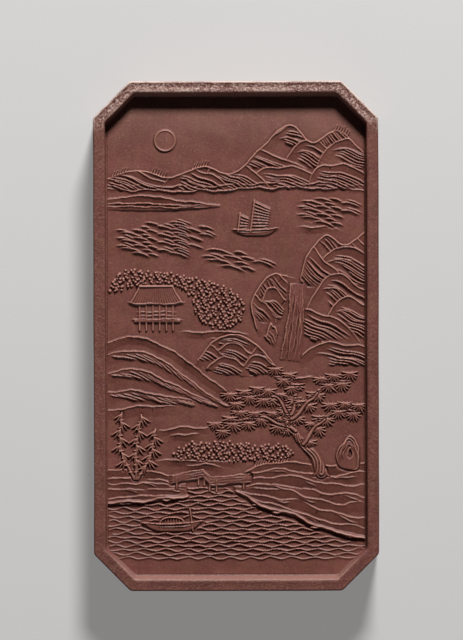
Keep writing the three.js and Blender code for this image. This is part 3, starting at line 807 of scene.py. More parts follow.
def inside(outline):
    """Which places of the lattice lie inside an outline."""
    outline = np.asarray(outline)
    left, bottom = (np.searchsorted(axis, low) for axis, low in zip((xs, ys), outline.min(0)))
    right, top = (np.searchsorted(axis, high) for axis, high in zip((xs, ys), outline.max(0)))
    window = np.s_[bottom:top, left:right]
    x, y = across[window], up[window]
    crossings = np.zeros(x.shape, bool)
    for (ax, ay), (bx, by) in zip(outline, np.roll(outline, 1, axis=0)):
        if ay != by:
            crossings ^= ((ay > y) != (by > y)) & (x < ax + (bx - ax) * (y - ay) / (by - ay))
    within = np.zeros(across.shape, bool)
    within[window] = crossings
    return within


# %% [markdown]
# All lines are cut with one tool: near_line finds, for the places close to a line, how far off they are,
# on which side, and how far along. Long lines are worked through in short runs, to keep it quick.

# %% Distance from a line
out_of_reach = 99


def near_line(points, reach):
    """For each run of the line: its window of the lattice, distances, who lies left, and shares along."""
    points = np.asarray(points, float)
    count = len(points) - 1
    run = 10
    for first in range(0, count, run):
        part = points[first : first + run + 1]
        low = part.min(0) - reach
        high = part.max(0) + reach
        left, right = np.searchsorted(xs, (low[0], high[0]))
        bottom, top = np.searchsorted(ys, (low[1], high[1]))
        if left == right or bottom == top:
            continue
        window = np.s_[bottom:top, left:right]
        step = part[1:] - part[:-1]
        rx = across[window][..., None] - part[:-1, 0]
        ry = up[window][..., None] - part[:-1, 1]
        at = np.clip((rx * step[:, 0] + ry * step[:, 1]) / (step**2).sum(1).clip(1e-12), 0, 1)
        gap = np.hypot(rx - at * step[:, 0], ry - at * step[:, 1])
        nearest = gap.argmin(-1)[..., None]
        turn = step[:, 0] * ry - step[:, 1] * rx
        distance, at, turn = (np.take_along_axis(a, nearest, -1)[..., 0] for a in (gap, at, turn))
        nearest = nearest[..., 0]
        is_last = nearest == len(step) - 1
        beyond = ((nearest == 0) & (at <= 0) & (first > 0)) | (is_last & (at >= 1) & (first + run < count))
        distance = np.where(beyond, out_of_reach, distance)
        yield window, distance, turn > 0, (first + nearest + at) / count


def hand_cut(points, sway):
    """A line as a hand cuts it, wavering a little to either side."""
    points = spaced(points)
    if len(points) < 4:
        return points
    seed = float(points[0] @ (3.1, 5.7))
    along = np.gradient(points, axis=0)
    across_line = np.stack([-along[:, 1], along[:, 0]], axis=1) / np.hypot(*along.T)[:, None]
    run = np.arange(len(points)) * line_spacing
    offset = 0.1 * np.sin(run / 1.15 + seed) + 0.05 * np.sin(run / 0.41 + 2.3 * seed)
    return points + across_line * (sway * offset)[:, None]


def swell(share, thin_end, run=0.22):
    """Full in the middle of a line, and thinner towards both ends."""
    return thin_end + (1 - thin_end) * np.clip(np.minimum(share, 1 - share) / run, 0, 1)


# %% [markdown]
# A carved line has a bright side and a dark one: it rises steeply from the light's side to its crest, and
# falls away on the other, at first steeply and then over a long apron. A Stroke says how one kind of line
# is cut.

# %% Strokes
crest_width = 0.1


class Stroke(NamedTuple):
    """One way to cut a line, in millimetres.

    The bright side is about rise wide. On the dark side, the share steep of the height is lost within
    fall, and the rest over the apron. thin_end is what the line keeps at its ends, and sway unsteadies it.
    """

    height: float = 0.6
    rise: float = 0.3
    fall: float = 0.2
    thin_end: float = 0.25
    sway: float = 1.0
    apron: float = 0.8
    steep: float = 0.6


# %% [markdown]
# A Carving is one motif on the bench: cuts holds the heights of all its lines and masses, and covers says
# which ground it takes. Its methods are the carver's tools. Those that cut only raise what is there, so
# lines that meet run into each other. Only put_before takes away, round a nearer thing.

# %% The carver's tools
class Carving:
    def __init__(self):
        self.cuts = np.zeros(across.shape)
        self.covers = np.zeros(across.shape, bool)

    def raise_to(self, window, heights):
        self.cuts[window] = np.maximum(self.cuts[window], heights)

    def line(self, points, stroke):
        points = hand_cut(points, stroke.sway)
        seed = float(points[0].sum())
        length = length_of(points)
        reach = max(stroke.apron, 5 * stroke.fall, stroke.rise * 1.3)
        for window, distance, is_left, share in near_line(points, reach):
            distance = (distance - crest_width / 2).clip(0)
            pressure = 1 + 0.12 * np.sin(share * length / 1.9 + seed) + 0.05 * np.sin(share * length / 0.7)
            full = swell(share, stroke.thin_end) * pressure
            lit = 1 - smooth(distance / (stroke.rise * (0.35 + 0.5 * full)))
            plain = (1 - distance / stroke.apron).clip(0)
            shade = stroke.steep * np.exp(-((distance / stroke.fall) ** 1.5)) + (1 - stroke.steep) * plain
            self.raise_to(window, stroke.height * full * np.where(is_left, lit, shade))

    def ridge(self, points, width, height, tip=1.0, bark=0.0):
        """A rounded bar. tip is its width at the end as a share of the first, and bark cuts grooves."""
        for window, distance, is_left, share in near_line(points, width / 2):
            half = width / 2 * (1 + (tip - 1) * share)
            side = np.where(is_left, distance, -distance) / half
            dome = np.sqrt((1 - side**2).clip(0))
            grooves = 1 - bark * (0.5 + 0.5 * np.cos(11 * side + 5 * np.sin(9 * share) + 25 * share))
            self.raise_to(window, height * (1 - 0.25 * share) * dome * grooves)

    def leaf(self, start, end, width, height):
        """A pointed leaf with a crest along it, highest near its foot."""
        for window, distance, is_left, share in near_line([start, end], width / 2):
            half = width / 2 * np.sin(pi * (0.06 + 0.94 * share) ** 0.75).clip(0.02)
            dome = (1 - (distance / half) ** 2).clip(0) ** 0.7
            self.raise_to(window, height * (1 - 0.35 * share) * dome)

    def bead(self, x, y, radius, height):
        left, right = np.searchsorted(xs, (x - radius, x + radius))
        bottom, top = np.searchsorted(ys, (y - radius, y + radius))
        window = np.s_[bottom:top, left:right]
        distance = np.hypot(across[window] - x, up[window] - y) / radius
        self.raise_to(window, height * np.sqrt((1 - distance**2).clip(0)))

    def sheet(self, outline, height, edge=0.25):
        within = inside(outline)
        self.covers |= within
        self.cuts = np.maximum(self.cuts, height * soften(within * 1.0, steps_of(edge)))

    def put_before(self, nearer):
        """Another carving stands in front, with a dark gap round it."""
        halo = soften((nearer.cuts > 0.05) * 1.0, 2)
        self.cuts = np.maximum(self.cuts * (1 - smooth(2.2 * halo)), nearer.cuts)

    def cover_own(self, least=0.03):
        self.covers |= self.cuts > least


# %% [markdown]
# The picture is put together from the far things to the near ones. What lies behind is cleared just
# round a nearer motif, so that it stands out against a quiet band, and each place remembers its owner.

# %% Putting the picture together
class Picture:
    def __init__(self):
        self.cuts = np.zeros(across.shape)
        self.owner = np.zeros(across.shape, int)
        self.names = ["picture_ground"]

    def add(self, name, carving, clearance=0.35):
        halo = soften(carving.covers * 1.0, steps_of(clearance))
        kept = 1 - smooth(halo * 3)
        self.cuts = np.where(carving.covers, 0, self.cuts * kept)
        self.cuts = np.maximum(self.cuts, carving.cuts)
        self.names.append(name)
        self.owner[carving.covers] = len(self.names) - 1
        print(name, "covers", int(carving.covers.sum() * pitch**2), "square mm")

    def engrave(self, carving):
        """Lines on the bare ground, which stay part of it."""
        self.cuts = np.where(self.owner == 0, np.maximum(self.cuts, carving.cuts), self.cuts)


picture = Picture()


# %% [markdown]
# Mountains are drawn as rounded hills that stand in front of each other. Each has a crest line, a plain
# band below it, and a few hatches that nest inside its far flank. The nearer hill wipes out what it
# covers, just as a carver stops a line where another hill begins.

# %% Hills
hatch_stroke = Stroke(height=0.56, rise=0.24, fall=0.16, thin_end=0.1, sway=0.35)
hill_crest = Stroke(height=0.7, thin_end=0.5, sway=0.5, apron=2.4, steep=0.35)


def arch(left, right, height, peak, seed):
    """The outline of a hill between its two feet, with its top at a share of the way."""
    share = np.linspace(0, 1, 48)
    warped = share ** (np.log(0.5) / np.log(peak))
    bump = np.sin(pi * warped) ** 0.85
    bump += 0.1 * np.sin(3 * pi * share + seed) * np.sin(pi * share)
    bump += 0.03 * np.sin(7 * pi * share + 2 * seed) * np.sin(pi * share)
    feet = np.array(left) * (1 - share[:, None]) + np.array(right) * share[:, None]
    return feet + np.stack([np.zeros(48), height * bump], axis=1)


first_hatch_drop = 1.1
hatch_pitch = 0.62
hatch_flattening = 0.38
room_for_hatch = 0.66
most_hatches = 9


def hatch(carving, crest, foot_y, hatches, peak, seed):
    """Lines that run down inside the far flank of a hill. Each starts a little lower than the last."""
    line = spaced(crest)
    for k in range(hatches):
        start = int(len(line) * (peak * (0.7 + 0.2 * waver(seed + k)) + 0.035 * k))
        end = int(len(line) * (0.99 - 0.05 * abs(waver(seed + 2 * k))))
        nested = line[start:end]
        chord = np.linspace(nested[0], nested[-1], len(nested))
        nested = (1 - hatch_flattening) * nested + hatch_flattening * chord
        nested = nested - [0.35 + 0.55 * k, first_hatch_drop + hatch_pitch * k]
        nested = nested[nested[:, 1] > foot_y + 0.2]
        if len(nested) > 6:
            pressure = 0.08 * waver(seed + k)
            carving.line(nested, hatch_stroke._replace(height=hatch_stroke.height + pressure))


def hill(carving, left, right, height, peak, seed, within):
    crest = arch(left, right, height, peak, seed)
    own = inside(crest) & within
    carving.cuts = np.where(own, 0, carving.cuts)
    carving.line(crest, hill_crest)
    hatches = int(np.clip((height - 1.0) / room_for_hatch, 0, most_hatches))
    hatch(carving, crest, min(left[1], right[1]), hatches, peak, seed)


def hills_in_tiers(carving, within, tier_height, hill_width, first_seed):
    """Fills an area with hills, from its top downwards."""
    rows = np.flatnonzero(within.any(1))
    top, bottom = ys[rows[-1]], ys[rows[0]]
    tiers = max(1, round((top - bottom) / tier_height))
    for tier in range(tiers):
        base = top - (top - bottom) * (tier + 1) / tiers
        level = np.searchsorted(ys, min(base + 0.35 * tier_height, top - pitch))
        columns = np.flatnonzero(within[level])
        if not len(columns):
            continue
        start, end = xs[columns[0]], xs[columns[-1]]
        count = max(1, round((end - start) / hill_width))
        step = (end - start) / count
        order = range(count + tier % 2)
        for i in sorted(order, key=lambda n: waver(n + tier)):
            seed = first_seed + 7 * tier + i
            middle = start + (i + 0.5 - 0.5 * (tier % 2) + 0.16 * waver(seed)) * step
            half = step * (0.68 + 0.14 * waver(seed + 1))
            height = tier_height * (1.25 + 0.35 * waver(seed + 2))
            peak = 0.38 + 0.12 * waver(seed + 3)
            left = (middle - half, base + 0.15 * waver(seed + 4))
            right = (middle + 1.25 * half, base)
            hill(carving, left, right, height, peak, seed, within)


# %% [markdown]
# A range of mountains is the area between its skyline and its foot, filled with tiers of hills. Reeds
# stand in short rows on some of its lines, and a shore may have a few lines of its own.

# %% Mountains
skyline_stroke = Stroke(height=0.74, rise=0.32, fall=0.22, thin_end=0.6, sway=0.7, apron=2.2, steep=0.35)
shore_stroke = Stroke(height=0.52, rise=0.28, fall=0.18, thin_end=0.5, apron=0.9)
least_cover = 0.04


def edges_of(upper_marks, lower_marks):
    """The upper and the lower edge of a motif, and the places between them."""
    upper = curve_through(upper_marks)
    lower = curve_through(lower_marks)
    return upper, lower, inside(np.vstack([upper, lower[::-1]]))


def reeds(carving, line, shares, blades=6, length=1.5):
    """Reeds that stand on a line as a row of short leaning strokes."""
    for n, share in enumerate(shares):
        for blade in range(blades):
            seed = 5 * n + blade
            place = at_share(line, min(share + 0.7 * blade / length_of(line), 1)) + [0, 0.1]
            tip = place + np.array([0.7, length * (0.9 + 0.15 * waver(seed))])
            carving.ridge(spaced([place, tip]), width=0.42, height=0.75, tip=0.4)


def mountains(upper_marks, lower_marks, tier_height, hill_width, first_seed, shore_lines=0, reeds_at=()):
    carving = Carving()
    upper, lower, within = edges_of(upper_marks, lower_marks)
    carving.line(upper, skyline_stroke)
    crest_only = carving.cuts.copy()
    hills_in_tiers(carving, within, tier_height, hill_width, first_seed)
    carving.cuts *= soften(within * 1.0, 1)
    carving.cuts = np.maximum(carving.cuts, crest_only * (1 - smooth((carving.cuts - crest_only) / 0.05)))
    for n in range(shore_lines):
        shore = lower + [0, 1.15 * n]
        wave = 0.22 * np.sin(shore[:, 0] / 1.9 + 2 * n) + 0.12 * np.sin(shore[:, 0] / 0.8)
        carving.line(shore + np.stack([0 * wave, wave + 0.2], axis=1), shore_stroke)
    reeds(carving, upper, reeds_at)
    carving.covers = within | (carving.cuts > least_cover)
    return carving


# %% [markdown]
# A hillside, a cliff or a fall is drawn with long lines that flow from one side to the other, between its
# upper edge and its foot. They run in bundles with plain bands between them, and short strokes may leave
# the last line of a bundle and run into the band below.

# %% Flowing slopes
fold_stroke = Stroke(height=0.64, rise=0.28, fall=0.18, thin_end=0.3, apron=0.9, steep=0.5)
last_fold_stroke = fold_stroke._replace(apron=2.6, steep=0.35)
barb_stroke = Stroke(height=0.52, rise=0.24, fall=0.16, thin_end=0.1, sway=0.5, steep=0.55)
brow_stroke = Stroke(height=0.74, rise=0.32, fall=0.22, thin_end=0.6, apron=2.0, steep=0.35)
fold_pitch = 0.85


def between(upper, lower, along, down):
    """A place between two edges: a share along them and a share of the way down."""
    down = np.asarray(down)[:, None]
    return at_share(upper, along) * (1 - down) + at_share(lower, along) * down


def flowing_slope(upper_marks, lower_marks, bundles, lines_in_bundle, sweep=0.0, barbs=0):
    """With a sweep, the bundles bend down towards the foot, and the lower ones end sooner."""
    carving = Carving()
    upper, lower, within = edges_of(upper_marks, lower_marks)
    depth = np.hypot(*(upper - at_share(lower, np.linspace(0, 1, len(upper)))).T).max()

    def run_of(start, end, level, offset):
        """Points of a line that starts at a level and an offset in millimetres below it."""
        along = np.linspace(start, end, 60)
        sway = 0.022 * np.sin(6 * along + 9 * level) + 0.008 * np.sin(19 * along + 30 * level)
        turned = sweep * along**2.4 * (1 - level)
        down = level + sway + turned + offset / depth
        return between(upper, lower, along, down.clip(0.01, 0.99))[down < 0.985]

    for bundle in range(bundles):
        level = (bundle + 0.6 + 0.16 * waver(3 * bundle)) / (bundles + 0.2)
        last = min(1, 1.15 - sweep * level)
        for k in range(lines_in_bundle):
            seed = 3 * bundle + 5 * k
            start = 0.0 if k < 2 else 0.06 + 0.3 * abs(waver(seed))
            points = run_of(start, last - 0.12 * abs(waver(seed + 1)), level, fold_pitch * k)
            carving.line(points, last_fold_stroke if k == lines_in_bundle - 1 else fold_stroke)
        for barb in range(barbs if bundle < bundles - 1 else 0):
            seed = 7 * bundle + 3 * barb
            start = last * (barb + 0.5 + 0.3 * waver(seed)) / barbs
            leaving = np.linspace(0, 1, 60) ** 0.8 * (1.9 + 0.5 * waver(seed + 1))
            offset = fold_pitch * lines_in_bundle - 0.5 + leaving
            points = run_of(start, min(start + 0.2, last), level, offset)
            if len(points) > 20:
                carving.line(points, barb_stroke)
    carving.line(upper, brow_stroke)
    carving.cuts *= soften((within | (carving.cuts > 0.6)) * 1.0, 1)
    carving.covers = within
    return carving


# %% [markdown]
# A bank is a low terrace of smooth planes. Long thin lines with small kinks part the planes, and at the
# water its edge breaks off sharply, with a few flat ledges, and throws a black shadow.

# %% Banks
plane_stroke = Stroke(height=0.7, thin_end=0.45, sway=0.6, apron=2.6, steep=0.2)
fork_stroke = Stroke(height=0.6, rise=0.28, thin_end=0.3, sway=0.8, apron=1.6, steep=0.25)
bank_top_stroke = Stroke(height=0.75, thin_end=0.6, apron=2.4, steep=0.2)
broken_edge_stroke = Stroke(height=0.85, rise=1.3, fall=0.16, thin_end=0.8, apron=0.4, steep=1)
ledge_stroke = Stroke(height=0.7, rise=0.9, fall=0.16, thin_end=0.4, apron=0.4, steep=1)


def ledge_line(place, half):
    """A flat ledge of that half width, as the broken line of its edge."""
    steps = [(-half, 0.1), (-0.2 * half, -0.18), (0.6 * half, 0.05), (half, 0.3)]
    return spaced([place + step for step in steps])


def bank(upper_marks, lower_marks, planes, first_seed, ledges=4, reeds_at=()):
    carving = Carving()
    upper, lower, within = edges_of(upper_marks, lower_marks)
    for plane in range(1, planes):
        seed = first_seed + 4 * plane
        pieces = 1 + plane % 2
        for piece in range(pieces):
            start = (piece + 0.08 * piece * abs(waver(seed + piece))) / pieces
            end = (piece + 1 - 0.1 * abs(waver(seed + piece + 1))) / pieces
            along = np.linspace(start, end, 60)
            kink = 0.035 * np.sin(23 * along + seed) + 0.03 * np.tanh(6 * np.sin(9 * along + seed))
            down = (plane + 0.25 * waver(seed) + kink * planes / 2) / planes
            carving.line(between(upper, lower, along, down), plane_stroke)
            fork_at = start + (end - start) * 0.45
            fork = np.linspace(fork_at, min(fork_at + 0.22, end), 24)
            drop = np.linspace(0, 0.55 / planes, 24)
            down = np.interp(fork, along, down) + drop
            carving.line(between(upper, lower, fork, down), fork_stroke)
    carving.line(upper, bank_top_stroke)
    edge = lower + np.stack([0 * lower[:, 0], 0.35 + 0.25 * np.sin(lower[:, 0] / 1.7)], axis=1)
    carving.line(edge, broken_edge_stroke)
    for ledge in range(ledges):
        share = (ledge + 0.5 + 0.2 * waver(first_seed + ledge)) / ledges
        half = 2.1 + 0.7 * waver(first_seed + ledge + 1)
        carving.line(ledge_line(at_share(lower, share) + [0, 0.1], half), ledge_stroke)
    carving.cuts *= soften((within | (carving.cuts > 0.3)) * 1.0, 1)
    reeds(carving, upper, reeds_at)
    carving.covers = within | (carving.cuts > least_cover)
    return carving


# %% [markdown]
# A thicket is a crowd of small beads, each cut with one turn of a round gouge. They are never in a true
# row, they differ in size, and here and there one is missing and its black gap shows.

# %% Thickets
def value_at(field, x, y):
    """The field at the lattice place next to a point, and 0 outside the picture."""
    column = np.searchsorted(xs, x)
    row = np.searchsorted(ys, y)
    return field[row, column] if 0 < column < len(xs) and 0 < row < len(ys) else 0


def thicket(marks, bead_pitch=0.8, bead_radius=0.36, bead_height=0.58):
    carving = Carving()
    outline = curve_through(marks, True)
    within = inside(outline)
    low = outline.min(0) - 0.6
    high = outline.max(0) + 0.6
    row_pitch = bead_pitch * 0.84
    edge = soften(within * 1.0, steps_of(0.5))
    beads = 0
    for row in range(int((high[1] - low[1]) / row_pitch) + 1):
        for i in range(int((high[0] - low[0]) / bead_pitch) + 1):
            seed = row * 37 + i
            x = low[0] + (i + row % 2 / 2 + 0.7 * waver(seed)) * bead_pitch
            y = low[1] + (row + 0.7 * waver(seed + 9)) * row_pitch
            is_missing = waver(seed + 6) > 0.62
            if is_missing or value_at(edge, x, y) < 0.45 + 0.35 * waver(seed + 1):
                continue
            radius = bead_radius + 0.1 * waver(seed + 4)
            carving.bead(x, y, radius, bead_height + 0.22 * waver(seed + 5))
            beads += 1
    carving.covers = within
    carving.cover_own()
    print("beads:", beads)
    return carving


# %% [markdown]
# Running water is drawn as rows of waves that swing against each other and so make long eyes.

# %% Waves
wave_stroke = Stroke(height=0.45, rise=0.2, fall=0.14, thin_end=0.5, sway=0.5, apron=0.6, steep=0.65)


def waves(marks, length=5.4, row_pitch=1.05, swing=0.27, fading_rows=4):
    """Rows of waves. Each row swings against the next, and the last rows are lower."""
    carving = Carving()
    outline = np.array([place_on(mark) for mark in marks])
    within = inside(outline)
    low = outline.min(0)
    high = outline.max(0)
    rows = int((high[1] - low[1]) / row_pitch)
    x = np.arange(low[0], high[0], line_spacing)
    for row in range(rows):
        run = x[(x > low[0] + 1.1 * (1 + waver(row))) & (x < high[0] - 0.6 * (1 + waver(row + 3)))]
        phase = 2 * pi * run / length + row * pi
        phase += 0.7 * np.sin(run / 13 + 1.9 * row)
        phase += 0.25 * np.sin(run / 4.3 + row)
        height = swing * (1 + 0.25 * np.sin(run / 7 + 2.3 * row))
        y = high[1] - (row + 0.5) * row_pitch + height * np.sin(phase) + 0.07 * np.sin(run / 3.1 + row)
        full = 1 - 0.45 * max(0, row - rows + fading_rows) / fading_rows
        stroke = wave_stroke._replace(height=wave_stroke.height * full)
        carving.line(np.stack([run, y], axis=1), stroke)
    carving.cuts *= soften(within * 1.0, 1)
    carving.covers = within
    return carving


# %% [markdown]
# Still water is bare ground with short leaning arcs. About half of them have a fainter one beside them.

# %% Ripples
arc_stroke = Stroke(height=0.55, rise=0.26, fall=0.18, thin_end=0.1, sway=0.6, apron=0.9, steep=0.5)
echo_stroke = arc_stroke._replace(height=0.45, apron=0.7)


def bent_line(start, middle, end, steps):
    """A line from start to end that is drawn towards the middle point."""
    share = np.linspace(0, 1, steps)[:, None]
    start, middle, end = (np.array(point) for point in (start, middle, end))
    return start * (1 - share) ** 2 + 2 * middle * share * (1 - share) + end * share**2


def ripples(marks, rows, arcs_in_row):
    carving = Carving()
    outline = curve_through(marks, True)
    low = outline.min(0)
    size = outline.max(0) - low
    within = inside(outline)
    for row in range(rows):
        for i in range(arcs_in_row):
            seed = row * 11 + i
            length = size[0] / arcs_in_row * (0.95 + 0.4 * waver(seed))
            share = (i + 0.5 + 0.45 * (row % 2) + 0.3 * waver(seed + 3)) / (arcs_in_row + 0.45)
            x = low[0] + size[0] * share
            y = low[1] + size[1] * (row + 0.6 + 0.25 * waver(seed + 7)) / rows
            if not value_at(within, x, y):
                continue
            start = (x - length / 2, y + length * 0.02)
            middle = (x - length * 0.05, y + length * 0.16)
            arc = bent_line(start, middle, (x + length / 2, y - length * 0.2), 20)
            carving.line(arc, arc_stroke)
            if waver(seed + 8) > 0:
                carving.line(arc[6:] + [0.5, 0.6], echo_stroke)
    carving.covers = within | (carving.cuts > least_cover)
    return carving


# %% [markdown]
# Boats, hut and bridge are sheets with ribs: battens in the sails, tiles on the roof, planks and posts.
# A hull is a crescent with a line along its gunwale and another below it.

# %% Hulls and sails
batten_stroke = Stroke(height=0.55, rise=0.24, fall=0.16, thin_end=0.7, sway=0.4, apron=0.6)
hull_steps = 8


def hull_outline(mark, length, depth):
    """A hull from its stern along its keel to its bow and back along its gunwale."""
    stern = (-length / 2, depth)
    bow = (length / 2, depth * 1.2)
    points = [
        bent_line(stern, (-length * 0.36, 0), (-length * 0.15, 0), hull_steps),
        bent_line((length * 0.2, 0), (length * 0.4, depth * 0.1), bow, hull_steps),
        bent_line(bow, (0, depth * 0.6), stern, hull_steps)[1:-1],
    ]
    return np.vstack(points) + place_on(mark)


def gunwale_of(hull):
    return spaced(np.vstack([hull[1 - hull_steps :], hull[:1]])[::-1])


def sail(carving, mark, left, foot, width, height):
    lean = width * 0.25
    corners = [
        (-left, foot),
        (width - left, foot + height * 0.08),
        (width - left + lean, foot + height * 0.75),
        (lean - left, foot + height),
    ]
    outline = stand_at(mark, corners)
    carving.sheet(outline, 0.22)
    battens = int(height / 0.85)
    for batten in range(battens):
        share = (batten + 0.5) / battens
        windward = outline[0] * (1 - share) + outline[3] * share
        leeward = outline[1] * (1 - share) + outline[2] * share
        carving.line(spaced([windward, leeward]), batten_stroke)
    carving.ridge(spaced([outline[0], outline[3]]), width=0.5, height=0.75)


# %% [markdown]
# The far boat carries two ribbed sails. The near one is larger, so its lines are cut deeper, and it has a
# hooped roof and a pole.

# %% The two boats
small_gunwale = Stroke(height=0.8, rise=0.26, thin_end=0.7, sway=0.3)
small_strake = Stroke(height=0.6, rise=0.22, fall=0.16, thin_end=0.3, sway=0.3, apron=0.5)
roof_edge_stroke = Stroke(height=0.85, thin_end=0.8, sway=0.4)
large_gunwale = Stroke(height=0.95, thin_end=0.8, sway=0.3)
large_strake = Stroke(height=0.75, rise=0.26, fall=0.16, thin_end=0.2, sway=0.4, apron=0.5)


def sailing_boat(mark, length=10.95, sail_height=8):
    carving = Carving()
    depth = length * 0.155
    hull = hull_outline(mark, length, depth)
    sail(carving, mark, length * 0.11, depth * 0.6, sail_height * 0.52, sail_height)
    sail(carving, mark, length * 0.4, depth * 0.65, sail_height * 0.28, sail_height * 0.58)
    carving.sheet(hull, 0.42)
    carving.line(gunwale_of(hull), small_gunwale)
    carving.line(gunwale_of(hull) - [0, 0.62], small_strake)
    carving.cover_own()
    return carving


def moored_boat(mark, length=15):
    carving = Carving()
    depth = length * 0.15
    roof_foot = depth * 0.5
    roof_width = length * 0.42
    roof_height = length * 0.17
    share = np.linspace(0, 1, 24)
    rise = roof_height * np.sin(pi * share) ** 0.6
    roof = stand_at(mark, np.stack([roof_width / 2 * np.cos(pi * share), roof_foot + rise], axis=1))
    hull = hull_outline(mark, length, depth)
    carving.sheet(roof, 0.25)
    hoops = 9
    for hoop in range(1, hoops):
        part = hoop / hoops
        top = roof_foot + roof_height * sin(pi * part) ** 0.6 * 0.96
        x = roof_width * (part - 0.5)
        bowed = [(x + 0.25 * (part - 0.5), roof_foot), (x, top)]
        carving.ridge(spaced(stand_at(mark, bowed)), width=0.4, height=0.75)
    carving.line(spaced(roof[::-1]), roof_edge_stroke)
    carving.sheet(hull, 0.55)
    carving.line(gunwale_of(hull), large_gunwale)
    carving.line(gunwale_of(hull) - [0, 0.8], large_strake)
    pole = stand_at(mark, [(length * 0.36, -depth * 0.3), (length * 0.3, depth * 2.6)])
    carving.ridge(spaced(pole), width=0.4, height=0.8)
    carving.cuts[~inside(hull) & (up < place_on(mark)[1])] = 0
    carving.cover_own()
    return carving


# %% [markdown]
# The hut stands on posts, with a deck, a wall of thin posts and beams, and a roof of ribbed tiles whose
# eaves turn up at their ends. Its main parts are shares of its width.

# %% Hut
beam_stroke = Stroke(height=0.35, rise=0.2, fall=0.3, thin_end=0.8)
deck_stroke = beam_stroke._replace(height=0.6)
eaves_stroke = Stroke(height=0.66, rise=0.25, fall=0.35, thin_end=0.8)


def hut(mark, width=9, posts=6, rows_of_tiles=20):
    carving = Carving()
    half = width / 2
    overhang = width * 0.18
    lean = width * 0.22
    deck_foot = width * 0.04
    deck_top = width * 0.14
    eaves = width * 0.58
    ridge = width * 1.07
    upturn = 0.35
    walls = [(-half, deck_top), (half, deck_top), (half, eaves), (-half, eaves)]
    carving.sheet(stand_at(mark, walls), 0.12)
    for post in range(posts):
        x = (post / (posts - 1) - 0.5) * (width - 0.5)
        carving.ridge(spaced(stand_at(mark, [(x, -width * 0.18), (x, eaves)])), width=0.5, height=0.55)
    for level in (0.42, 0.6):
        beam = [(-half, eaves * level), (half, eaves * level)]
        carving.line(spaced(stand_at(mark, beam)), beam_stroke)
    deck = [(-half - deck_top, deck_foot), (half + overhang, deck_foot)]
    deck += [(half + overhang, deck_top), (-half - deck_top, deck_top)]
    carving.sheet(stand_at(mark, deck), 0.5)
    carving.line(spaced(stand_at(mark, deck[:1:-1])), deck_stroke)
    eave_line = stand_at(mark, [(-half - overhang - 0.5, eaves + upturn), (-half, eaves), (half, eaves)])
    eave_line += stand_at(mark, [(half + overhang + 0.5, eaves + upturn)])
    ridge_line = stand_at(mark, [(lean - half - overhang, ridge), (half + overhang - lean, ridge)])
    carving.sheet([*eave_line, ridge_line[1], ridge_line[0]], 0.36)
    low_line = spaced(eave_line)
    high_line = spaced(ridge_line)
    for n in range(rows_of_tiles):
        share = (n + 0.5) / rows_of_tiles
        low = at_share(low_line, share)
        high = at_share(high_line, share)
        sag = (low + high) / 2 - np.array([0, 0.25])
        carving.ridge(spaced([low, sag, high]), width=0.42, height=0.6)
    carving.line(low_line, eaves_stroke)
    carving.ridge(high_line, width=0.8, height=0.8)
    for end in (0, 1):
        gable = [high_line[-end], eave_line[-end]]
        carving.line(spaced(gable if end else gable[::-1]), eaves_stroke)
    carving.cover_own()
    return carving


# %% [markdown]
# The bridge is a strip of planks that zigzags over pairs of posts.

# %% Bridge
plank_stroke = Stroke(height=0.55, rise=0.2, fall=0.35, thin_end=0.8)


def plank_bridge(marks, plank_width=1.9):
    carving = Carving()
    line = np.array([place_on(mark) for mark in marks])
    upper = line + [0, plank_width / 2]
    lower = line - [0, plank_width / 2]
    for start, end in zip(line, line[1:]):
        for share in (0.15, 0.85):
            top = start * (1 - share) + end * share
            carving.ridge([top, top - [0, 1.5 * plank_width]], width=0.55, height=0.6)
    carving.sheet(np.vstack([lower, upper[::-1]]), 0.42)
    for share in (0, 0.36, 0.7, 1):
        carving.line(spaced(upper * (1 - share) + lower * share), plank_stroke)
    carving.cover_own()
    return carving


# %% [markdown]
# The tree has a leaning trunk with twisted bark, and fans of pointed leaves round many buds. Dark gaps
# between the leaves matter as much as the leaves, so each fan is put before what lies behind it.

# %% Tree
def leaf_fan(carving, place, radius, seed, leaves=9):
    """Leaves that spread from one bud: sideways and down, with short ones at the top."""
    spread = radians(200)
    for leaf in range(leaves):
        angle = -pi / 2 + spread * (leaf / (leaves - 1) - 0.5) + 0.07 * waver(leaf + seed)
        reach = radius * (1 + 0.1 * waver(leaf * 3 + seed)) * (0.86 + 0.14 * abs(cos(angle)))
        towards = np.array([cos(angle), sin(angle)])
        height = 0.7 + 0.1 * waver(leaf + 2 * seed)
        carving.leaf(place + towards * 0.15, place + towards * reach, width=0.56, height=height)
    for side in (-1, 1):
        short = np.array([side * 0.55, 0.45]) * radius * 0.6
        carving.leaf(place, place + short, width=0.5, height=0.6)
    carving.bead(place[0], place[1] + 0.1, radius=0.36, height=0.85)


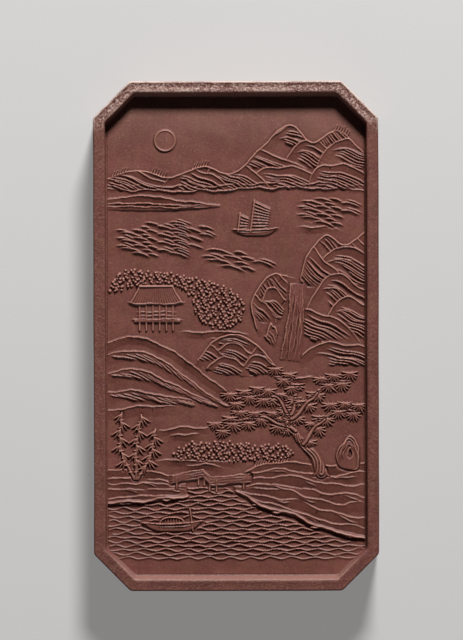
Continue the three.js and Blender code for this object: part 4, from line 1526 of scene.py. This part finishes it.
def leafy_tree(trunk_marks, branches, fan_radius=2.6):
    carving = Carving()
    fans = 0
    for marks in branches:
        carving.ridge(curve_through(marks), width=1.25, height=0.7, tip=0.45, bark=0.3)
    trunk = curve_through(trunk_marks)
    for spread in (-1.5, -0.6, 0.5, 1.5):
        root = [trunk[4], trunk[1] + [0.7 * spread, -0.1], trunk[0] + [1.3 * spread, -0.9]]
        carving.ridge(spaced(root), width=1.2, height=0.7, tip=0.3, bark=0.3)
    carving.ridge(trunk, width=3.2, height=0.95, tip=0.42, bark=0.5)
    row_lifts = (0.62, -0.3)
    for n, marks in enumerate(branches):
        curve = curve_through(marks)
        curve[:, 1] += 0.4 * np.sin(np.arange(len(curve)) * line_spacing / 1.1 + n)
        count = round(length_of(curve) / (1.35 * fan_radius))
        for row, lift in enumerate(row_lifts):
            for i in range(1, count + 1):
                seed = 5 * n + 3 * row + i
                share = min(1, (i - 0.45 * row + 0.12 * waver(seed)) / count)
                offset = [0.5 * waver(seed + 1), fan_radius * (lift + 0.1 * waver(seed + 2))]
                fan = Carving()
                radius = fan_radius * (0.95 + 0.1 * waver(seed + 3))
                leaf_fan(fan, at_share(curve, share) + offset, radius, seed)
                carving.put_before(fan)
                fans += 1
        bough = Carving()
        seen = round(len(curve) * (0.45 + 0.1 * waver(n)))
        bough.ridge(curve[:seen], width=1.15, height=0.8, tip=0.6, bark=0.3)
        carving.put_before(bough)
    carving.cover_own()
    print("leaf fans:", fans)
    return carving


# %% [markdown]
# Bamboo has canes with joints, and slender leaves that hang in threes.

# %% Bamboo
def bamboo_clump(mark, canes, height=17, leaf_length=3.1, joints=9, bunches=7):
    carving = Carving()
    for n, shares in enumerate(canes):
        points = [place_on(mark) + [x * leaf_length, y * height] for x, y in shares]
        curve = curve_through([point / [picture_half_x, picture_half_y] for point in points])
        carving.ridge(curve, width=0.85, height=0.6, tip=0.7)
        for joint in range(1, joints):
            place = at_share(curve, joint / joints)
            carving.ridge([place - [0.5, 0.08], place + [0.5, 0.08]], width=0.34, height=0.78)
        for i in range(bunches):
            place = at_share(curve, 0.3 + 0.68 * i / (bunches - 1))
            hang = (1 if (i + n) % 2 else -1) * 0.6 - pi / 2
            for leaf in (-1, 0, 1):
                angle = hang + leaf * 0.42
                reach = leaf_length * (0.95 + 0.1 * waver(i + leaf + n))
                end = place + reach * np.array([cos(angle), sin(angle)])
                carving.leaf(place, end, width=0.5, height=0.78)
    carving.cover_own()
    return carving


# %% [markdown]
# A garden rock is prized for its holes and folds, and the moon is a plain disc with a raised edge. Low
# ground shows as a few long lines that stay part of the ground plate.

# %% Rock, moon and open ground
rock_fold_stroke = Stroke(height=0.85, thin_end=0.4, apron=0.9, steep=0.4)
hole_stroke = Stroke(rise=0.25, fall=0.3, thin_end=0.8)
ground_stroke = Stroke(height=0.55, rise=0.28, fall=0.18, thin_end=0.2, sway=0.8, apron=1.6, steep=0.35)


def garden_rock(marks, hole_marks):
    carving = Carving()
    outline = curve_through(marks, True)
    hole = curve_through(hole_marks, True)
    carving.sheet(outline, 0.45, 0.4)
    middle = outline.mean(0)
    for share in (0.98, 0.83, 0.68, 0.53):
        ring = middle + (outline - middle) * share
        carving.line(ring[: int(len(ring) * (0.35 + 0.55 * share))], rock_fold_stroke)
    carving.cuts *= 1 - soften(inside(hole) * 1.0, 1)
    carving.line(hole[::-1], hole_stroke)
    carving.cover_own()
    return carving


def moon_disc(mark, radius=3):
    carving = Carving()
    place = place_on(mark)
    distance = np.hypot(across - place[0], up - place[1])
    edge = np.exp(-(((distance - radius + 0.35) / 0.22) ** 2))
    carving.cuts = 0.22 * smooth((radius - distance) / 0.5) + 0.26 * edge
    carving.covers = distance < radius
    carving.cover_own()
    return carving


def ground_lines(ends):
    """Long lines of low ground, each with a slight rise in its middle."""
    carving = Carving()
    for n, (left, right) in enumerate(ends):
        share = np.linspace(0, 1, 60)
        line = place_on(left) * (1 - share[:, None]) + place_on(right) * share[:, None]
        line[:, 1] += 0.35 * np.sin(pi * share) + 0.2 * np.sin(9 * share + 2 * n)
        carving.line(line, ground_stroke)
    return carving


# %% [markdown]
# Now the landscape itself, from the far things to the near ones. The marks repeat those of the CAD model,
# so each motif stands where its solid stands. Marks just past 1 or -1 let a motif reach the rim.

# %% Water, moon and far hills
picture.add(
    "water_waves",
    waves(
        [
            (-1.03, -0.72), (-0.45, -0.675), (-0.38, -0.63), (-0.05, -0.64), (0.02, -0.68), (0.2, -0.74),
            (0.45, -0.78), (0.7, -0.84), (1.03, -0.88), (1.03, -0.95), (-1.03, -0.95),
        ]
    ),
)
south_lake = [(-0.3, 0.34), (0, 0.36), (0.3, 0.33), (0.15, 0.28), (-0.1, 0.29)]
east_lake = [(0.45, 0.54), (0.7, 0.58), (0.96, 0.55), (0.85, 0.48), (0.6, 0.47)]
west_lake = [(-0.96, 0.42), (-0.6, 0.48), (-0.2, 0.45), (-0.3, 0.37), (-0.7, 0.34)]
picture.add("lake_ripples_south", ripples(south_lake, rows=4, arcs_in_row=3))
picture.add("lake_ripples_east", ripples(east_lake, rows=7, arcs_in_row=3))
picture.add("lake_ripples_west", ripples(west_lake, rows=9, arcs_in_row=5))
picture.add("moon", moon_disc((-0.55, 0.82)))
picture.add(
    "far_range",
    mountains(
        [
            (-1.03, 0.655), (-0.76, 0.695), (-0.52, 0.665), (-0.25, 0.71), (-0.03, 0.68),
            (0.2, 0.79), (0.42, 0.885), (0.6, 0.81), (0.78, 0.86), (1.03, 0.75),
        ],
        [(-1.03, 0.615), (-0.3, 0.605), (0.3, 0.62), (1.03, 0.61)],
        tier_height=5.6,
        hill_width=13,
        first_seed=3,
        shore_lines=2,
        reeds_at=(0.03, 0.16, 0.3, 0.86),
    ),
)
picture.add(
    "far_shore",
    flowing_slope(
        [(-1.03, 0.575), (-0.7, 0.59), (-0.45, 0.57), (-0.12, 0.55)],
        [(-1.03, 0.53), (-0.6, 0.525), (-0.12, 0.54)],
        bundles=1,
        lines_in_bundle=2,
    ),
)

# %% [markdown]
# The middle ground has most of the carver's texture: beads of the thicket against hatched cliffs, and the
# long folds of the near slope below them. Faint lines mark the low ground between the motifs.

# %% Middle ground
picture.engrave(
    ground_lines(
        [
            ((-0.62, -0.525), (0.04, -0.53)), ((-0.4, -0.545), (-0.12, -0.545)),
            ((-0.6, -0.395), (-0.2, -0.385)), ((-0.52, -0.42), (-0.28, -0.415)),
            ((-0.42, 0.015), (0.08, 0.01)), ((-0.2, -0.01), (0.1, -0.02)),
            ((0.3, -0.19), (0.62, -0.175)), ((0.5, 0.455), (0.8, 0.45)),
        ]
    )
)
picture.add(
    "back_thicket",
    thicket(
        [
            (-0.98, 0.19), (-0.9, 0.27), (-0.6, 0.27), (-0.3, 0.24), (-0.05, 0.2), (0.06, 0.13),
            (0.02, 0.05), (-0.2, 0.04), (-0.32, 0.1), (-0.4, 0.2), (-0.7, 0.22),
        ]
    ),
)
picture.add(
    "cliff_right",
    mountains(
        [(0.5, 0.24), (0.55, 0.33), (0.7, 0.42), (0.85, 0.38), (1.03, 0.45)],
        [(0.5, -0.13), (0.6, -0.14), (0.8, -0.12), (1.03, -0.13)],
        tier_height=7.6,
        hill_width=12,
        first_seed=41,
    ),
)
picture.add(
    "cliff_left",
    mountains(
        [(0.16, 0.03), (0.12, 0.13), (0.2, 0.22), (0.3, 0.26), (0.4, 0.25)],
        [(0.3, -0.05), (0.34, 0.05), (0.38, 0.12), (0.4, 0.2)],
        tier_height=5.6,
        hill_width=9,
        first_seed=23,
    ),
)
picture.add(
    "waterfall",
    flowing_slope(
        [(0.34, -0.1), (0.37, -0.02), (0.41, 0.1), (0.42, 0.22)],
        [(0.5, -0.11), (0.52, -0.02), (0.53, 0.1), (0.54, 0.22)],
        bundles=3,
        lines_in_bundle=2,
    ),
)
picture.add(
    "middle_hill",
    mountains(
        [(-0.3, -0.1), (-0.14, -0.01), (0.04, 0), (0.2, -0.06), (0.31, -0.13)],
        [(-0.28, -0.13), (-0.1, -0.16), (0.1, -0.17), (0.31, -0.15)],
        tier_height=4,
        hill_width=8,
        first_seed=65,
    ),
)
picture.add(
    "near_slope",
    flowing_slope(
        [(-1.03, -0.03), (-0.8, 0), (-0.5, -0.06), (-0.25, -0.16), (0.02, -0.27)],
        [(-1.03, -0.36), (-0.6, -0.34), (-0.25, -0.32), (0.02, -0.31)],
        bundles=4,
        lines_in_bundle=1,
        sweep=0.75,
        barbs=14,
    ),
)
# %% [markdown]
# The near things come last and stand before all others: banks, a thicket, a rock, boats, a hut, bamboo,
# a bridge, and the tree before them all.

# %% Near ground
picture.add(
    "right_bank",
    bank(
        [(-0.02, -0.63), (0.1, -0.56), (0.4, -0.53), (0.7, -0.545), (1.03, -0.53)],
        [(0, -0.66), (0.2, -0.72), (0.45, -0.76), (0.7, -0.82), (1.03, -0.86)],
        planes=7,
        first_seed=11,
        reeds_at=(0.2, 0.33),
    ),
)
picture.add(
    "left_bank",
    bank(
        [(-1.03, -0.56), (-0.7, -0.565), (-0.4, -0.6)],
        [(-1.03, -0.71), (-0.75, -0.7), (-0.38, -0.68)],
        planes=5,
        first_seed=29,
        ledges=2,
    ),
)
picture.add(
    "front_thicket",
    thicket(
        [
            (-0.5, -0.5), (-0.4, -0.45), (-0.1, -0.445), (0.2, -0.455), (0.38, -0.46), (0.44, -0.5),
            (0.2, -0.52), (-0.2, -0.52),
        ]
    ),
)
picture.add(
    "garden_rock",
    garden_rock(
        [
            (0.8, -0.55), (0.78, -0.5), (0.83, -0.45), (0.88, -0.42), (0.94, -0.46), (0.95, -0.52),
            (0.93, -0.56),
        ],
        [(0.86, -0.5), (0.885, -0.47), (0.9, -0.5), (0.88, -0.52)],
    ),
)
picture.add("sailing_boat", sailing_boat((0.15, 0.42)))
picture.add("hut", hut((-0.62, 0.05)))
picture.add("moored_boat", moored_boat((-0.5, -0.82)), clearance=0.7)
picture.add(
    "bamboo_clump",
    bamboo_clump(
        (-0.78, -0.6),
        [
            [(-0.15, 0), (-1.25, 0.46), (-1.15, 1)],
            [(0, 0), (0.05, 0.5), (0.45, 0.96)],
            [(0.15, 0), (1.2, 0.36), (1.6, 0.74)],
        ],
    ),
)
picture.add("plank_bridge", plank_bridge([(-0.5, -0.6), (-0.26, -0.575), (-0.2, -0.61), (0.1, -0.595)]))
picture.add(
    "leafy_tree",
    leafy_tree(
        [(0.66, -0.575), (0.6, -0.5), (0.47, -0.42), (0.42, -0.34)],
        [
            [(0.46, -0.4), (0.25, -0.35), (0.05, -0.35), (-0.16, -0.4)],
            [(0.43, -0.37), (0.33, -0.27), (0.15, -0.25), (-0.04, -0.27)],
            [(0.42, -0.35), (0.46, -0.26), (0.42, -0.19), (0.3, -0.17)],
            [(0.43, -0.35), (0.58, -0.27), (0.7, -0.2), (0.88, -0.19)],
            [(0.52, -0.45), (0.66, -0.36), (0.8, -0.31), (0.95, -0.32)],
        ],
    ),
)

# %% [markdown]
# The ground was never quite flat: the dough left shallow swells of a few hundredths of a millimetre.
# One light blur takes the tool's edge off every line, as the dough never filled the mould's sharpest
# corners. What stands above its neighbourhood is painted lighter, as rubbed wear and painted highlight,
# and what lies below it is painted darker, as painted shade over a little gathered ink.

# %% Heights, wear and painted light
chance = np.random.default_rng(7)
swell_count = 14
swell_height = 0.012
swells = np.zeros(across.shape)
for _ in range(swell_count):
    direction = chance.uniform(0, pi)
    wavelength = chance.uniform(6, 30)
    shift = chance.uniform(0, 2 * pi)
    along = across * cos(direction) + up * sin(direction)
    swells += swell_height * np.sin(2 * pi * along / wavelength + shift)
relief = picture.cuts + swells
relief = 0.6 * relief + 0.4 * soften(relief, 1)
neighbourhood = soften(relief, 2 * steps_of(0.9))
# This share drives painted light as well as wear: lighter crests and darker hollows.
full_wear_and_light_height = 0.5
wear_and_painted_light = np.clip(0.5 + (relief - neighbourhood) / full_wear_and_light_height, 0, 1)
print("Relief from", round(relief.min(), 3), "to", round(relief.max(), 3), "mm above the ground")

# %% [markdown]
# Each owner now gets its piece: a grid over its box, with the cells of other owners deleted, extruded
# into a closed block, and its top raised to the heights. Neighbours share the heights along their border,
# so no seam shows. The decimate modifier then thins the quiet parts, and the border is kept from it.

# %% Cells and seams
def without_corner_contacts(cells):
    """Fills cells so that no two meet at a corner alone."""
    for _ in range(6):
        a, b, c, d = cells[:-1, :-1], cells[:-1, 1:], cells[1:, :-1], cells[1:, 1:]
        falling = (a == d) & (b != a) & (c != a)
        if not falling.any():
            break
        cells[:-1, 1:][falling] = a[falling]
    return cells


cells = without_corner_contacts(picture.owner[:-1, :-1].copy())
ringed = np.pad(cells, 1, constant_values=-1)
four = [ringed[:-1, :-1], ringed[:-1, 1:], ringed[1:, :-1], ringed[1:, 1:]]
is_seam = ~((four[0] == four[1]) & (four[0] == four[2]) & (four[0] == four[3]))
print("Seam places:", int(is_seam.sum()))


def sample(field, x, y):
    """The field at any place, between its four nearest lattice points."""
    column = np.clip((x - xs[0]) / pitch, 0, len(xs) - 1.001)
    row = np.clip((y - ys[0]) / pitch, 0, len(ys) - 1.001)
    i, j = column.astype(int), row.astype(int)
    s, t = column - i, row - j
    low = field[j, i] * (1 - s) + field[j, i + 1] * s
    high = field[j + 1, i] * (1 - s) + field[j + 1, i + 1] * s
    return low * (1 - t) + high * t


# %% [markdown]
# A sheet is cut out of the lattice by deleting the cells that the piece doesn't own. A bisect along each
# cut corner of the picture gives it a straight edge there, which square cells can't.

# %% A sheet from the lattice
ground_gap = 0.12
picture_corners = octagon(rim_width + side_draft + ground_gap, rim_width + end_draft + ground_gap)


def trim_corners():
    """Cuts the selected sheet along the picture's four cut corners."""
    for i in (1, 3, 5, 7):
        start, end = picture_corners[i], picture_corners[(i + 1) % 8]
        along = (end - start).normalized()
        outward = Vector((along.y, -along.x, 0))
        bpy.ops.mesh.select_all(action="SELECT")
        bpy.ops.mesh.bisect(plane_co=start * mm, plane_no=outward, clear_outer=True)


def lattice_sheet(name, wanted):
    """A flat sheet over the wanted cells, as an object in edit mode with everything selected."""
    rows, columns = (np.flatnonzero(wanted.any(axis)) for axis in (1, 0))
    j, i = rows[0], columns[0]
    height, width = rows[-1] - j + 1, columns[-1] - i + 1
    deselect_all()
    bpy.ops.mesh.primitive_grid_add(x_subdivisions=width, y_subdivisions=height, size=1)
    piece = bpy.context.object
    piece.name = name
    co = coordinates(piece.data)
    co[:, 0] = (xs[i] + np.round((co[:, 0] + 0.5) * width) * pitch) * mm
    co[:, 1] = (ys[j] + np.round((co[:, 1] + 0.5) * height) * pitch) * mm
    piece.data.vertices.foreach_set("co", co.ravel())
    centres = np.zeros(len(piece.data.polygons) * 3)
    piece.data.polygons.foreach_get("center", centres)
    centres = centres.reshape(-1, 3) / mm
    column = np.floor((centres[:, 0] - xs[0]) / pitch + 1e-3).astype(int)
    row = np.floor((centres[:, 1] - ys[0]) / pitch + 1e-3).astype(int)
    unwanted = ~wanted[row, column]
    bpy.ops.object.mode_set(mode="EDIT")
    bpy.ops.mesh.select_mode(type="FACE")
    bpy.ops.mesh.select_all(action="DESELECT")
    bpy.ops.object.mode_set(mode="OBJECT")
    piece.data.polygons.foreach_set("select", unwanted)
    bpy.ops.object.mode_set(mode="EDIT")
    if unwanted.any():
        bpy.ops.mesh.delete(type="FACE")
    trim_corners()
    bpy.ops.mesh.select_all(action="SELECT")
    return piece


# %% [markdown]
# The vertex group holds the border, and the decimate modifier is told to leave that group alone. Bisected
# edges lie off the lattice, and they stay as they are too.

# %% A closed piece of relief
def relief_piece(name, wanted, base_z, top, locked, kept_share, nodes):
    """The wanted cells from a flat base to the heights of top, thinned to a share except where locked."""
    piece = lattice_sheet(name, wanted)
    lift = 5 * mm
    bpy.ops.mesh.extrude_region_move(TRANSFORM_OT_translate={"value": (0, 0, lift)})
    bpy.ops.object.mode_set(mode="OBJECT")
    co = coordinates(piece.data)
    x, y = co[:, 0] / mm, co[:, 1] / mm
    is_top = co[:, 2] > lift / 2
    co[:, 2] = np.where(is_top, floor_z + sample(top, x, y), base_z) * mm
    piece.data.vertices.foreach_set("co", co.ravel())
    column = (x - xs[0]) / pitch
    row = (y - ys[0]) / pitch
    off_lattice = np.abs(column - np.round(column)) + np.abs(row - np.round(row)) > 0.01
    is_locked = locked[np.round(row).astype(int), np.round(column).astype(int)]
    kept = (is_top & is_locked) | off_lattice
    border = piece.vertex_groups.new(name="border")
    border.add(np.flatnonzero(kept).tolist(), 1.0, "REPLACE")
    thin = piece.modifiers.new("thin", "DECIMATE")
    thin.ratio = kept_share
    thin.vertex_group = border.name
    thin.invert_vertex_group = True
    bpy.ops.object.modifier_apply(modifier=thin.name)
    bpy.ops.object.mode_set(mode="EDIT")
    bpy.ops.mesh.select_all(action="SELECT")
    bpy.ops.mesh.normals_make_consistent(inside=False)
    bpy.ops.object.mode_set(mode="OBJECT")
    co = coordinates(piece.data)
    store_share(piece, "wear_and_painted_light", sample(wear_and_painted_light, co[:, 0] / mm, co[:, 1] / mm))
    finish_piece(piece, relief_ink, nodes, smooth_angle=60)


# %% [markdown]
# The ground plate reaches under every motif, in a shallow socket, so the motifs stand in it. Its seam lies
# a few thousandths of a millimetre lower than the motif's, because two faces in one place would flicker.


# %% The ground of the picture
def beside(wanted):
    """The lattice places that touch a wanted cell."""
    touched = np.zeros(across.shape, bool)
    for down, along in ((0, 0), (0, 1), (1, 0), (1, 1)):
        touched[down : down + wanted.shape[0], along : along + wanted.shape[1]] |= wanted
    return touched


def grown(places):
    """The places and their neighbours on all four sides."""
    wide = np.pad(places, 1)
    return places | wide[:-2, 1:-1] | wide[2:, 1:-1] | wide[1:-1, :-2] | wide[1:-1, 2:]


socket_depth = 0.35
seam_drop = 0.006
ground_top = np.where(beside(cells == 0), relief - seam_drop * beside(cells > 0), -socket_depth)
relief_piece(
    "ground_plate",
    np.ones(cells.shape, bool),
    base_z=ground_base_z,
    top=ground_top,
    locked=grown(is_seam),
    kept_share=0.1,
    nodes=["picture_ground"],
)

# %% [markdown]
# Each motif's foot lies a little below the floor, inside the socket that the ground plate leaves for it.

# %% The motifs
motif_base_z = floor_z - 0.1
for index, name in enumerate(picture.names):
    if index > 0:
        relief_piece(
            name + "_relief",
            cells == index,
            base_z=motif_base_z,
            top=relief,
            locked=is_seam,
            kept_share=0.5,
            nodes=[name],
        )

# %% [markdown]
# A plain pale floor catches the cake's shadow. It belongs to the studio and not to the object. It glows a
# little for the rays that see or mirror it, and not for those that light the cake, so that its shadow
# stays soft while no more light falls on the cake.

# %% Floor
deselect_all()
bpy.ops.mesh.primitive_plane_add(size=3, location=(0, 0, 0))
studio_floor = bpy.context.object
studio_floor.name = "studio_floor"
paper = Shader("floor_paper")
paper_tone = paper.mix(paper.noise(0.01, 2), linear(168, 167, 166), linear(174, 173, 172))
paper.finish(paper_tone, 0.9, paper.bump(paper.noise(1.5, 2), 0.02))
glow_strength = 0.22
glow_values = {"Color": linear(255, 254, 252), "Strength": glow_strength}
rays = paper.node("ShaderNodeLightPath", {}, {})
seen_by = ("Is Camera Ray", "Is Glossy Ray", "Is Transmission Ray")
camera_ray, glossy_ray, transmission_ray = (Value(paper, rays.outputs[name]) for name in seen_by)
is_seen = (camera_ray + glossy_ray + transmission_ray).clipped()
no_glow = paper.value("ShaderNodeEmission", {}, {"Strength": 0.0})
glow = paper.value("ShaderNodeEmission", {}, glow_values)
seen_glow = paper.value("ShaderNodeMixShader", {}, {"Fac": is_seen, 1: no_glow, 2: glow})
lit_paper = Value(paper, paper.surface.outputs[0])
paper_and_glow = paper.value("ShaderNodeAddShader", {}, {0: lit_paper, 1: seen_glow})
paper.feed(paper.tree.nodes["Material Output"].inputs["Surface"], paper_and_glow)
studio_floor.data.materials.append(paper.material)
